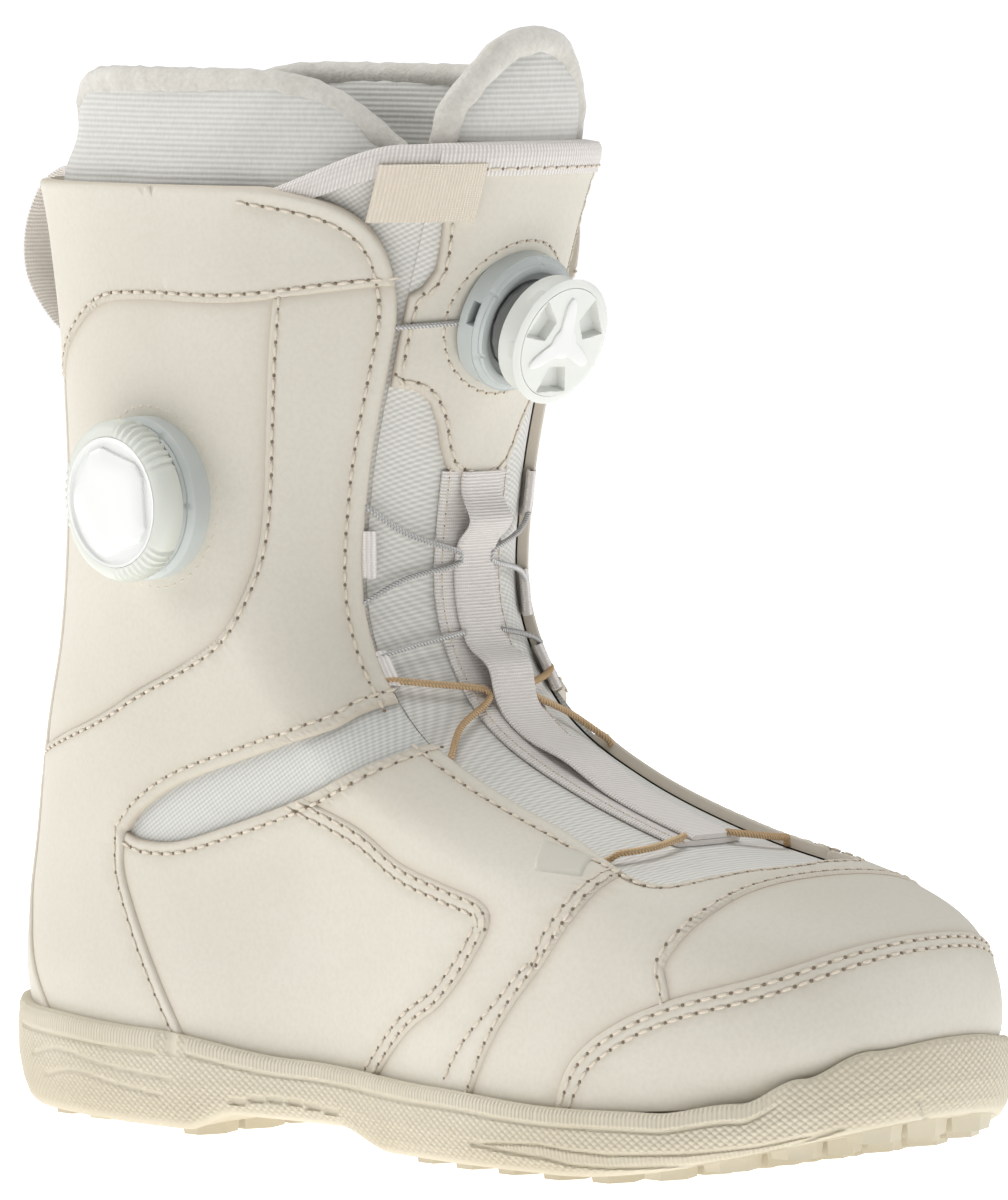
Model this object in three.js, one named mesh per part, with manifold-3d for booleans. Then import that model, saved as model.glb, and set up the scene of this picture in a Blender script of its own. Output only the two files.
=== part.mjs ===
// A snowboard boot with two lacing dials, in millimetres, +Z up, +X towards the toe and +Y towards
// the inner ankle. The origin is on the ground at the centre of the heel tread.
import * as THREE from "three";
import { mergeVertices } from "three/addons/utils/BufferGeometryUtils.js";
import Module from "manifold-3d";

const wasm = await Module();
wasm.setup();

// Overall sizes
const UPPER_LENGTH = 276; // heel to toe of the upper
const COLLAR_HEIGHT = 227; // top of the leather collar
const BALL_WIDTH = 99; // across the ball of the foot
// Walls and layers, counted inwards from the outer surface
const GAP = 0.3; // between neighbouring pieces
const SHELL = 2.2; // leather panels
const STIFFENER = 1.4; // heel counter and toe puff
const TONGUE_BASE = 1.8;
const TONGUE_PANEL = 1.6;
const WING = 1; // fabric sides of the tongue
const STRAP = 1.3; // each layer of webbing on the tongue
const LINER_FOOT = 5;
const LINER_CUFF = 8;
const LINER_TONGUE = 7;
const BOARD = 2.4; // lasting board
const FOOTBED = 4;
// Sole
const LUG_HEIGHT = 4;
const LUG_LENGTH = 9;
const OUTSOLE = 4; // web above the lugs
const SOLE_LIP = 2; // rubber beyond the upper at the top of the sidewall
const SOLE_BULGE = 2.6; // and at its widest
const TOE_SPRING = 17;
// Throat and tongue
const THROAT_HALF = 29;
const TONGUE_CLEARANCE = 1.2; // between the tongue's sides and the facings
const STRAP_HALF = 9;
const LINER_RISE = 29; // cuffs above the collar
const LINER_TONGUE_RISE = 39;
const LOOP_WIDTH = 24;
const LOOP_THICKNESS = 2;
const LACE_DIAMETER = 1.5;
// Dials, measured along their own axis from the leather
const SIDE_DIAL = { radius: 18.5, base: 6, knob: 8.5, lift: 0 };
const FRONT_DIAL = { radius: 16, base: 5.5, knob: 8, lift: 4 };
const SCREW_RADIUS = 2.2;
const GRIP = 1.6; // rubber ring round each knob
const FACE = 1.4; // emblem disc on each knob

// The stations and seams are drawn for an upper 276 long, 227 high and 99 wide; kx and ky fit them
// to the sizes above, and raised does the same for heights, which only change above the foot.
const kx = UPPER_LENGTH / 276;
const ky = BALL_WIDTH / 99;
const FOOT = 80;

function raised(z) {
  return z < FOOT ? z : FOOT + ((z - FOOT) * (COLLAR_HEIGHT - FOOT)) / (227 - FOOT);
}

const LEATHER = [0xe6e0d5, 0.55, 0];
const FABRIC = [0xc9c8c2, 0.9, 0];
const WEBBING = [0xd8cfc6, 0.85, 0];
const RUBBER = [0xe1d9c6, 0.7, 0];
const PLASTIC = [0xdcdfd6, 0.35, 0];
const GREY_PLASTIC = [0xbfc4c2, 0.4, 0];
const PADDING = [0xe4e0d8, 0.95, 0];
const BOARD_FIBRE = [0x9b8f7d, 0.9, 0];
const LACE_GREY = [0xb9b9b4, 0.5, 0];
const LACE_TAN = [0xc8a56e, 0.6, 0];
const STEEL = [0xa8a9ab, 0.3, 1];

const boot = new THREE.Group();

function add(name, solid, [color, roughness, metalness]) {
  const material = new THREE.MeshStandardMaterial({ color, roughness, metalness });
  const mesh = new THREE.Mesh(geometryOf(solid), material);
  mesh.name = name;
  boot.add(mesh);
  return mesh;
}

// ---- Solids and meshes ----

function solidOf(geometry) {
  const bare = geometry.clone();
  bare.deleteAttribute("normal");
  bare.deleteAttribute("uv");
  const merged = mergeVertices(bare, 1e-4);
  return new wasm.Manifold(
    new wasm.Mesh({
      numProp: 3,
      vertProperties: merged.attributes.position.array,
      triVerts: new Uint32Array(merged.index.array),
    }),
  );
}

function geometryOf(solid) {
  const mesh = solid.getMesh();
  const geometry = new THREE.BufferGeometry();
  geometry.setAttribute("position", new THREE.BufferAttribute(mesh.vertProperties, 3));
  geometry.setIndex(new THREE.BufferAttribute(mesh.triVerts, 1));
  geometry.computeVertexNormals();
  return geometry;
}

function indexed(points, triangles) {
  const geometry = new THREE.BufferGeometry().setFromPoints(points);
  geometry.setIndex(triangles);
  return solidOf(geometry);
}

// Quads between rows of points; a closed row joins its last point to its first.
function stitch(triangles, a, b, c, d) {
  triangles.push(a, b, c, a, c, d);
}

// A solid through stacked rings that start at the toe and turn towards the inner side, closed
// across its width at both ends.
function loft(rings) {
  const n = rings[0].length;
  const triangles = [];
  for (let k = 0; k + 1 < rings.length; k++)
    for (let j = 0; j < n; j++) {
      const next = (j + 1) % n;
      stitch(triangles, k * n + j, k * n + next, (k + 1) * n + next, (k + 1) * n + j);
    }
  const top = (rings.length - 1) * n;
  for (let j = 0; j < n / 2; j++) {
    const a = j;
    const b = j + 1;
    const c = n - j - 1;
    const d = (n - j) % n;
    if (c !== b) triangles.push(top + a, top + b, top + c, a, c, b);
    if (d !== a) triangles.push(top + a, top + c, top + d, a, d, c);
  }
  return indexed(rings.flat(), triangles);
}

// A tube wall: rings up the outside, then down the inside.
function ringWall(outer, inner) {
  const rings = [...outer, ...[...inner].reverse()];
  const n = rings[0].length;
  const triangles = [];
  rings.forEach((_, k) => {
    const above = (k + 1) % rings.length;
    for (let j = 0; j < n; j++) {
      const next = (j + 1) % n;
      stitch(triangles, k * n + j, k * n + next, above * n + next, above * n + j);
    }
  });
  return indexed(rings.flat(), triangles);
}

// A curved plate: at(u, v, side) gives its outer face for side 1 and its inner face for side 0.
function plate(at, nu, nv) {
  const points = [];
  for (const side of [1, 0])
    for (let i = 0; i <= nu; i++)
      for (let j = 0; j <= nv; j++) points.push(at(i / nu, j / nv, side));
  const outer = (i, j) => i * (nv + 1) + j;
  const inner = (i, j) => (nu + 1) * (nv + 1) + outer(i, j);
  const triangles = [];
  for (let i = 0; i < nu; i++)
    for (let j = 0; j < nv; j++) {
      stitch(triangles, outer(i, j), outer(i, j + 1), outer(i + 1, j + 1), outer(i + 1, j));
      stitch(triangles, inner(i, j), inner(i + 1, j), inner(i + 1, j + 1), inner(i, j + 1));
    }
  for (let j = 0; j < nv; j++) {
    stitch(triangles, outer(0, j), inner(0, j), inner(0, j + 1), outer(0, j + 1));
    stitch(triangles, outer(nu, j + 1), inner(nu, j + 1), inner(nu, j), outer(nu, j));
  }
  for (let i = 0; i < nu; i++) {
    stitch(triangles, outer(i + 1, 0), inner(i + 1, 0), inner(i, 0), outer(i, 0));
    stitch(triangles, outer(i, nv), inner(i, nv), inner(i + 1, nv), outer(i + 1, nv));
  }
  return indexed(points, triangles);
}

function shapeOf(points) {
  return new THREE.Shape(points.map(([a, b]) => new THREE.Vector2(a, b)));
}

function extrusion(shape, depth) {
  return new THREE.ExtrudeGeometry(shape, { depth, bevelEnabled: false, curveSegments: 8, steps: 1 });
}

// Prisms: a side view outline (x, z) runs along Y, a front view outline (y, z) along X, a plan (x,
// y) along Z.
function sidePrism(points, from, to) {
  return solidOf(extrusion(shapeOf(points), to - from).rotateX(Math.PI / 2).translate(0, to, 0));
}

function frontPrism(points, from, to) {
  const turned = extrusion(shapeOf(points), to - from).rotateX(Math.PI / 2).rotateZ(Math.PI / 2);
  return solidOf(turned.translate(from, 0, 0));
}

function planPrism(points, from, to) {
  return solidOf(extrusion(shapeOf(points), to - from).translate(0, 0, from));
}

const SEAM_STEPS = 12; // straight pieces along each seam
const LOOP_STEPS = 14; // and round the pull loop

function smoothLine(points, count) {
  const curve = new THREE.SplineCurve(points.map(([a, b]) => new THREE.Vector2(a, b)));
  return curve.getPoints(count);
}

// The outline of a ribbon one gap wide along a seam.
function ribbon(points) {
  const line = smoothLine(points, SEAM_STEPS);
  const side = (sign) =>
    line.map((p, i) => {
      const along = line[Math.min(i + 1, line.length - 1)].clone().sub(line[Math.max(i - 1,
        0)]).normalize();
      return [p.x - (sign * along.y * GAP) / 2, p.y + (sign * along.x * GAP) / 2];
    });
  return [...side(-1), ...side(1).reverse()];
}

const drawn = (points) => points.map(([x, z]) => [x * kx, raised(z)]);

// ---- The outer surface of the upper ----

// Stations from the sole up: back x and z, front x and z, widest x, outer and inner half width,
// fullness of the front and back curves, waist, and how far the sides drop.
const STATIONS = [
  [-58, 18, 205, 26, 140, 50, 46, 2.35, 3.0, 0.18, 5],
  [-62, 36, 214, 38, 138, 51, 48, 2.35, 3.0, 0.16, 3],
  [-62, 52, 209, 56, 134, 50, 48, 2.3, 2.9, 0.14, 0],
  [-60, 68, 189, 68, 118, 49, 47, 2.2, 2.8, 0.12, 0],
  [-58, 84, 150, 77, 92, 48, 45, 2.1, 2.7, 0.09, 1],
  [-55, 100, 114, 89, 66, 47, 43, 2.0, 2.6, 0.05, 2],
  [-51, 116, 86, 104, 46, 46, 42, 2.0, 2.5, 0.02, 2],
  [-48, 134, 72, 127, 32, 46, 42, 2.0, 2.4, 0, 1],
  [-45, 158, 73, 156, 24, 47, 44, 2.1, 2.4, 0, 0],
  [-45, 185, 80, 186, 20, 49, 46, 2.2, 2.4, 0, 0],
  [-48, 212, 89, 214, 18, 51, 49, 2.2, 2.4, 0, 0],
  [-52, 238, 97, 242, 18, 53, 51, 2.2, 2.4, 0, 0],
  [-52, 264, 98, 270, 18, 52, 50, 2.2, 2.4, 0, 0],
];
const TOP = STATIONS.length - 1;
const COLUMNS = 36;

function station(t) {
  const i = Math.min(Math.floor(Math.max(t, 0)), TOP - 1);
  const f = t - i;
  const row = (k) => STATIONS[Math.min(Math.max(i + k, 0), TOP)];
  return row(0).map((b, c) => {
    const a = row(-1)[c];
    const d = row(1)[c];
    const e = row(2)[c];
    return b + (f * (d - a + f * (2 * a - 5 * b + 4 * d - e + f * (3 * (b - d) + e - a)))) / 2;
  });
}

const power = (v, p) => Math.sign(v) * Math.abs(v) ** p;

function skin(t, phi) {
  const [xb, zb, xf, zf, xm, outer, inner, front, back, waist, drop] = station(t);
  const c = Math.cos(phi);
  const s = Math.sin(phi);
  const fullness = 2 / (c > 0 ? front : back);
  const x = xm + (c > 0 ? xf - xm : xm - xb) * power(c, fullness);
  const narrow = 1 - waist * Math.exp(-(((x - 62) / 42) ** 2));
  const shift = 6 * THREE.MathUtils.smoothstep(x, 90, 215) * (1 - THREE.MathUtils.smoothstep(t, 2, 7));
  const y = (s < 0 ? outer : inner) * power(s, fullness) * narrow + shift;
  const z = zb + ((zf - zb) * (x - xb)) / (xf - xb) - drop * s * s;
  return new THREE.Vector3(x * kx, y * ky, raised(z));
}

// A point at a depth under the surface, along its normal.
function under(t, phi, depth) {
  const step = 1e-3;
  const up = skin(t + step, phi).sub(skin(t - step, phi));
  const round = skin(t, phi + step).sub(skin(t, phi - step));
  return skin(t, phi).addScaledVector(round.cross(up).normalize(), -depth);
}

function ring(t, depth, columns = COLUMNS) {
  return Array.from({ length: columns }, (_, j) => under(t, (2 * Math.PI * j) / columns, depth));
}

// The angle at which a ring reaches a given y on the front half, by halving.
function angleAt(t, y) {
  let low = -Math.PI / 2;
  let high = Math.PI / 2;
  for (let i = 0; i < 40; i++) {
    const middle = (low + high) / 2;
    if (skin(t, middle).y < y) low = middle;
    else high = middle;
  }
  return (low + high) / 2;
}

// The station whose front line reaches a height.
function stationAt(z) {
  let low = 3.4;
  let high = TOP;
  for (let i = 0; i < 40; i++) {
    const middle = (low + high) / 2;
    if (skin(middle, 0).z < z) low = middle;
    else high = middle;
  }
  return (low + high) / 2;
}

// ---- Seams of the upper, in side view (x, z) unless said ----

const SEAMS = {
  toeCap: [[137, 6], [141, 22], [147, 32], [158, 40], [171, 46], [190, 52], [202, 58], [214, 66],
    [230, 78]],
  toeTop: [[171, 46], [169, 53], [172, 60], [176, 67], [177, 75], [176, 92]],
  vampBack: [[153, 84], [150, 72], [141, 58], [136, 51], [129, 43], [121, 32], [113, 18], [106, 4]],
  quarterFront: [[57, 85], [75, 79], [89, 72], [105, 68], [117, 65], [120, 60], [113, 49],
    [104, 40], [90, 31], [64, 6]],
  heel: [[-4, 73], [-4, 64], [2, 52], [11, 38], [18, 26], [27, 6]],
  gussetTop: [[96, 115], [72, 107], [63, 101], [42, 94], [17, 86], [3, 79], [-4, 73]],
  gussetFoot: [[-4, 73], [2, 71.5], [15, 72], [33, 77], [57, 85], [75, 93], [92, 103]],
  anklePanel: [[49, 201], [47, 187], [45, 169], [43, 147], [40, 135], [33, 123], [20, 115],
    [1, 107], [-18, 99], [-62, 86]],
  collar: [[90, 206], [70, 204], [39, 200], [10, 200], [-6, 198], [-23, 188], [-38, 176], [-62, 170]],
  // Half widths of the backstay, as (y, z)
  backstay: [[33, 186], [29, 150], [27, 128], [25, 110], [23.5, 80], [24, 60], [29, 45], [35, 27],
    [38, 6]],
};
// The top of each facing, as (out from its edge, z)
const CORNER = [[0, 196], [3, 208], [7, 217], [14, 223], [27, 228]];

// Everything inside the throat: the U between the facings, seen from above and from the front.
function throat(narrower, end, bottom) {
  const half = THROAT_HALF - narrower;
  const wide = THROAT_HALF + 6 - narrower;
  const foot = [[60, half], [96, half], [128, half], [148, wide - 1], [156, wide],
    [end - 3, wide - 4], [end, wide - 12]];
  const plan = [...foot, ...[...foot].reverse().map(([x, y]) => [x, -y])].map(([x, y]) => [x * kx, y * ky]);
  const side = [[half, 99], ...CORNER.map(([y, z]) => [half + y, z]), [half + 31, 290]];
  const mirrored = [...side].reverse().map(([y, z]) => [-y, z]);
  const front = [...side, ...mirrored].map(([y, z]) => [y * ky, raised(z)]);
  return planPrism(plan, raised(bottom), raised(140)).add(frontPrism(front, 35 * kx, 150 * kx));
}

// Every layer is drawn through the same levels, so that its facets lie parallel to its neighbours'.
const LEVELS = [0, 0.6, 1.3, 2.1, 3, 3.8, 4.6, 5.4, 6.2, 7, 8, 9.2, 10.4, 10.9];

const levelsBetween = (from, to) => [from, ...LEVELS.filter((t) => t > from + 0.1 && t < to - 0.1), to];

function upperBlock(depth, from, to) {
  return loft(levelsBetween(from, to).map((t) => ring(t, depth)));
}

// The leather and fabric panels of the upper: one wall, cut along its seams.
function upperPanels() {
  const wide = BALL_WIDTH;
  const high = COLLAR_HEIGHT + 80;
  const lid = sidePrism([[-high, COLLAR_HEIGHT], [high, COLLAR_HEIGHT], [high, high],
    [-high, high]], -wide, wide);
  const across = (points) => sidePrism(ribbon(drawn(points)), -wide, wide);
  const stay = (grow) => {
    const half = SEAMS.backstay.map(([y, z]) => [y * ky + grow, raised(z)]);
    return frontPrism([...half, ...[...half].reverse().map(([y, z]) => [-y, z])], -120 * kx, -20 * kx);
  };
  const whole = ringWall(LEVELS.map((t) => ring(t, 0)), LEVELS.map((t) => ring(t, SHELL)));
  const opened = whole.subtract(lid).subtract(throat(0, 165, 60)).subtract(across(SEAMS.collar));
  const [collar, lower] = opened.decompose().sort((p,
    q) => q.boundingBox().max[2] - p.boundingBox().max[2]);
  const backstay = lower.intersect(stay(0));
  let rest = lower.subtract(stay(GAP));
  for (const name of ["toeCap", "toeTop", "vampBack", "quarterFront", "heel", "gussetTop",
    "gussetFoot", "anklePanel"])
    rest = rest.subtract(across(SEAMS[name]));
  return { collar, backstay, rest: rest.decompose() };
}

// The panel with a corner nearest a place in side view, on the outer side (-1), the inner side (1)
// or either (0).
function panelAt(panels, [x, z, side]) {
  const distance = (panel) => {
    const at = panel.getMesh().vertProperties;
    let least = Infinity;
    for (let i = 0; i < at.length; i += 3)
      if (!side || Math.sign(at[i + 1]) === side)
        least = Math.min(least, Math.hypot(at[i] - x * kx, at[i + 2] - raised(z)));
    return least;
  };
  return panels.reduce((best, panel) => (distance(panel) < distance(best) ? panel : best));
}

function addUpper() {
  const { collar, backstay, rest } = upperPanels();
  add("collar", collar, LEATHER);
  add("backstay", backstay, LEATHER);
  add("toe_cap", panelAt(rest, [200, 35, 0]), LEATHER);
  add("toe_top", panelAt(rest, [190, 66, 0]), LEATHER);
  add("vamp", panelAt(rest, [150, 50, 0]), LEATHER);
  for (const [side, name] of [[-1, "lateral"], [1, "medial"]]) {
    add("front_quarter_" + name, panelAt(rest, [122, 80, side]), LEATHER);
    add("side_quarter_" + name, panelAt(rest, [50, 50, side]), LEATHER);
    add("shaft_" + name, panelAt(rest, [60, 150, side]), LEATHER);
    add("ankle_panel_" + name, panelAt(rest, [10, 165, side]), LEATHER);
    add("flex_gusset_" + name, panelAt(rest, [30, 82, side]), FABRIC);
  }
}

// Stiffeners between the leather and the liner, as (x, z) outlines.
function addStiffeners() {
  const outer = SHELL + GAP;
  const layer = upperBlock(outer, 0.3, 4.6).subtract(upperBlock(outer + STIFFENER, 0, 5));
  const heel = [[-90, 0], [34, 0], [30, 40], [12, 62], [-20, 76], [-40, 84], [-90, 86]];
  const toe = [[172, 32], [168, 42], [172, 50], [186, 56], [230, 58], [230, 33]];
  const wide = BALL_WIDTH;
  add("heel_counter", layer.intersect(sidePrism(drawn(heel), -wide, wide)), BOARD_FIBRE);
  add("toe_puff", layer.intersect(sidePrism(drawn(toe).reverse(), -wide, wide)), BOARD_FIBRE);
}

// ---- Sole ----

function treadHeight(x) {
  const toe = TOE_SPRING * Math.max((x - 142) / 78, 0) ** 1.7;
  const arch = 4.5 * THREE.MathUtils.smoothstep(x, 18, 34) * (1 - THREE.MathUtils.smoothstep(x, 66, 84));
  const heel = 6 * Math.max((-44 - x) / 20, 0) ** 1.5;
  return toe + arch + heel;
}

const SOLE_TOP = [[-70, 30], [-40, 28], [7, 27], [53, 23], [103, 21], [140, 19.5], [168, 20],
  [187, 23], [199, 29], [209, 35], [222, 41]];

function soleTop(x) {
  const i = Math.max(SOLE_TOP.findIndex(([place]) => place > x), 1);
  const [[x0, z0], [x1, z1]] = [SOLE_TOP[i - 1], SOLE_TOP[i]];
  return z0 + (z1 - z0) * THREE.MathUtils.smoothstep(x, x0, x1);
}

// A ring of the sole's outline: its height is a share of the way from the bottom to the top at each
// place.
function soleRing(offset, bottom, top, share) {
  return ring(1, -offset).map((p) => {
    const x = p.x / kx;
    const low = bottom(x);
    return new THREE.Vector3(p.x, p.y, low + (top(x) - low) * share);
  });
}

function addSole() {
  const web = (x) => treadHeight(x) + LUG_HEIGHT;
  const seat = (x) => web(x) + OUTSOLE + GAP;
  const slab = [[-2.6, 0], [0.4, 0.5],
    [1.2, 1]].map(([offset, share]) => soleRing(offset, web, (x) => web(x) + OUTSOLE, share));
  let outsole = loft(slab);
  for (const x of [-50, -36, 16, 94, 108, 122, 136, 150, 164, 178, 192,
    205]) outsole = outsole.add(lug(x, LUG_LENGTH));
  outsole = outsole.add(lug(-10, 34));
  add("outsole", outsole, RUBBER);

  const side = [[1.2, 0], [SOLE_BULGE, 0.3], [SOLE_BULGE, 0.7], [SOLE_LIP, 1]];
  const block = loft(side.map(([offset, share]) => soleRing(offset, seat, soleTop, share)));
  const pocket = planPrism(ellipse(-20 * kx, 0, 24, 20), 13, 60);
  add("midsole", block.subtract(upperBlock(-GAP, 0, 3)).subtract(pocket), RUBBER);
  add("heel_cushion", planPrism(ellipse(-20 * kx, 0, 24 - GAP, 20 - GAP), 13 + GAP, 17), PADDING);
}

function ellipse(x, y, a, b) {
  return Array.from({ length: 20 }, (_, i) => {
    const turn = (i * Math.PI) / 10;
    return [x + a * Math.cos(turn), y + b * Math.sin(turn)];
  });
}

// Where a closed outline crosses a given x, as its lowest and highest y.
function crossings(outline, x) {
  const found = outline.flatMap((p, i) => {
    const q = outline[(i + 1) % outline.length];
    return (p.x - x) * (q.x - x) > 0 || p.x === q.x ? [] : [p.y + ((q.y - p.y) * (x - p.x)) / (q.x - p.x)];
  });
  return [Math.min(...found), Math.max(...found)];
}

// One bar of the tread, with a flat foot; its width follows the outline.
function lug(x, length) {
  const [low, high] = crossings(ring(1, 5), x * kx);
  const box = new THREE.BoxGeometry(length, high - low, LUG_HEIGHT + 1.5);
  box.translate(x * kx, (low + high) / 2, treadHeight(x) + (LUG_HEIGHT + 1.5) / 2);
  return solidOf(box);
}

function addBoards() {
  const inside = SHELL + GAP + STIFFENER + GAP;
  const rise = (points, dz) => points.map((p) => new THREE.Vector3(p.x, p.y, p.z + dz));
  const board = ring(0.12, SHELL + GAP);
  add("lasting_board", loft([board, rise(board, BOARD)]), BOARD_FIBRE);
  const bed = ring(0.5, inside + LINER_FOOT + 2 * GAP);
  add("footbed", loft([rise(bed, 0.5 * GAP), rise(bed, FOOTBED)]), FABRIC);
}

// ---- Liner ----

const LINER = SHELL + GAP + STIFFENER + GAP;

function linerDepth(z) {
  return LINER + WING + 3.5 * THREE.MathUtils.smoothstep(z, COLLAR_HEIGHT - 8, COLLAR_HEIGHT + 12);
}

function addLiner() {
  const outside = upperBlock(LINER, 0.32, 6.9);
  const hollow = upperBlock(LINER + LINER_FOOT, 0.5, 8);
  add("liner_foot", outside.subtract(hollow).subtract(throat(-1, 158, 60)), PADDING);
  add("liner_cuff_lateral", linerCuff(-1), PADDING);
  add("liner_cuff_medial", linerCuff(1), PADDING);
}

function linerCuff(side) {
  const low = 7;
  const at = (u, v, face) => {
    const t = low + (TOP - 0.05 - low) * u;
    const front = Math.abs(angleAt(t, side * (THROAT_HALF + 1) * ky));
    const phi = front + (Math.PI - 0.012 - front) * v;
    const z = skin(t, side * phi).z;
    return under(t, side * phi, linerDepth(z) + (face ? 0 : LINER_CUFF));
  };
  const flipped = (u, v, face) => at(u, 1 - v, face);
  const top = COLLAR_HEIGHT + LINER_RISE;
  const outline = [[-90, 100], [110, 100], [110, top - 30], [76, top - 22], [70, top - 8],
    [58, top - 1], [30, top], [-22, top], [-36, top - 3], [-43, top - 12], [-90, top - 22]];
  const cut = sidePrism(outline.map(([x, z]) => [x * kx, z]), -BALL_WIDTH, BALL_WIDTH);
  return plate(side > 0 ? at : flipped, 9, 14).intersect(cut);
}

// ---- Tongue ----

const FLAP_DEPTH = SHELL + GAP; // outer face of the tongue's fabric, under the facings
const TONGUE_FOOT = 3.95; // the station at the bottom of the tongue

// A plate on the tongue between two stations, with a half width at each, between two depths.
function tonguePlate(from, to, half, outer, inner, columns = 6) {
  const levels = levelsBetween(from, to);
  const at = (u, v, face) => {
    const t = levels[Math.round(u * (levels.length - 1))];
    const y = half(t) * (2 * v - 1);
    return under(t, angleAt(t, y + middleAt(t)), face ? outer : inner);
  };
  return plate(at, levels.length - 1, columns);
}

const middleAt = (t) => skin(t, 0).y;

function addTongue() {
  const half = (THROAT_HALF - TONGUE_CLEARANCE) * ky;
  const top = stationAt(COLLAR_HEIGHT + 5);
  const panelFoot = stationAt(raised(157));
  add("tongue_base", tonguePlate(TONGUE_FOOT, top, () => half, FLAP_DEPTH,
    FLAP_DEPTH + TONGUE_BASE), FABRIC);
  const inside = FLAP_DEPTH - GAP;
  const above = inside - STRAP - GAP;
  add("tongue_panel", tonguePlate(panelFoot, top, () => half, inside - TONGUE_PANEL, inside), LEATHER);
  const strap = tonguePlate(TONGUE_FOOT + 0.05, panelFoot - 0.05, () => STRAP_HALF + 3,
    inside - STRAP, inside, 3);
  add("tongue_strap", strap, WEBBING);
  add("tongue_strap_top", tonguePlate(4.2, panelFoot - 0.1, () => STRAP_HALF - 3, above - STRAP,
    above, 2), WEBBING);
  add("tongue_binding", tonguePlate(top + 0.04, top + 0.16, () => half, 0.4,
    FLAP_DEPTH + TONGUE_BASE), WEBBING);
  const label = (u, v, face) => {
    const t = top - 0.36 + 0.34 * u;
    return under(t, angleAt(t, (-25 + 16 * v) * ky), inside - TONGUE_PANEL - GAP - (face ? 0.8 : 0));
  };
  add("label_tab", plate(label, 1, 3), WEBBING);
  const behind = FLAP_DEPTH + TONGUE_BASE + GAP;
  const linerTop = stationAt(COLLAR_HEIGHT + LINER_TONGUE_RISE);
  const rounded = (t) => half * (1 - 0.25 * THREE.MathUtils.smoothstep(t, linerTop - 0.9, linerTop));
  add("liner_tongue", tonguePlate(4.35, linerTop, rounded, behind, behind + LINER_TONGUE), PADDING);
}

function addWings() {
  const top = stationAt(COLLAR_HEIGHT + 5);
  for (const [side, name] of [[-1, "lateral"], [1, "medial"]]) {
    const at = (u, v, face) => {
      const t = 8 + (top - 8) * u;
      const near = (THROAT_HALF + 0.6) * ky;
      const y = side * (near + (12 + 6 * u) * v);
      return under(t, angleAt(t, y), SHELL + 2 * GAP + (face ? 0 : WING));
    };
    const turned = (u, v, face) => at(u, 1 - v, face);
    add("tongue_wing_" + name, plate(side > 0 ? at : turned, 4, 3), FABRIC);
  }
}

// ---- Lacing dials ----

function turnedSolid(profile, segments = 24) {
  const points = profile.map(([r, z]) => new THREE.Vector2(r, z));
  const first = points[0];
  if (first.x > 0) points.push(first.clone());
  return new THREE.LatheGeometry(points, segments).rotateX(Math.PI / 2);
}

// A frame standing on the skin, its z along the outward normal and its x as level as it can be.
function dialFrame(t, phi, height) {
  const foot = under(t, phi, -height);
  const out = under(t, phi, -height - 1).sub(foot).normalize();
  const across = new THREE.Vector3(0, 0, 1).cross(out).normalize();
  const up = out.clone().cross(across);
  return new THREE.Matrix4().makeBasis(across, up, out).setPosition(foot);
}

function addDial(name, { radius, base, knob, lift }, frame, block) {
  const hole = SCREW_RADIUS + GAP;
  const floor = 1.6;
  const bore = radius - 5;
  const seat = -7;
  const placed = (profile, segments) => solidOf(turnedSolid(profile, segments).applyMatrix4(frame));
  const housing = [[hole, seat], [radius + 0.8, seat], [radius + 0.8, base - 2.5],
    [radius - 1, base], [bore, base], [bore, floor], [hole, floor]];
  add(name + "_base", placed(housing).subtract(block), GREY_PLASTIC);

  const rim = bore - GAP;
  const low = floor + GAP;
  const spool = [[hole, low], [rim, low], [rim, low + 0.9], [rim - 2.5, low + 0.9],
    [rim - 2.5, base - 1.1], [rim, base - 1.1], [rim, base - 0.2], [hole, base - 0.2]];
  add(name + "_spool", placed(spool, 16), PLASTIC);

  const cap = radius - GRIP;
  const bottom = base + GAP + lift;
  const top = base + knob + lift;
  const shell = [[hole, top - 2], [cap - 2, top - 2], [cap - 2, bottom], [cap, bottom],
    [cap, top - 1.5], [cap - 1.5, top], [hole, top]];
  add(name + "_knob", placed(shell), PLASTIC);
  const grip = [[cap + GAP, bottom + 0.6], [radius + GAP, bottom + 0.6], [radius + GAP, top - 2.4],
    [cap + GAP, top - 1.6]];
  add(name + "_grip", placed(grip), RUBBER);
  const face = [[0, top + GAP], [cap - 4, top + GAP], [cap - 5, top + GAP + FACE], [0, top + GAP + FACE]];
  add(name + "_face", placed(face, 16), PLASTIC);
  const pin = [[0, 0.6], [SCREW_RADIUS, 0.6], [SCREW_RADIUS, base + knob - GAP], [0, base + knob - GAP]];
  add(name + "_screw", placed(pin, 12), STEEL);
}

const SIDE_DIAL_AT = { t: 7.87, phi: -1.72 };
const FRONT_DIAL_AT = { t: stationAt(raised(196)), phi: 0 };

function addDials() {
  const side = dialFrame(SIDE_DIAL_AT.t, SIDE_DIAL_AT.phi, 0);
  addDial("side_dial", SIDE_DIAL, side, upperBlock(-GAP, 6, 10));
  const proud = TONGUE_PANEL - (FLAP_DEPTH - GAP);
  const front = dialFrame(FRONT_DIAL_AT.t, FRONT_DIAL_AT.phi, proud);
  addDial("front_dial", FRONT_DIAL, front, upperBlock(-proud - GAP, 8, 11));
}

// ---- Laces and loop ----

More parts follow.
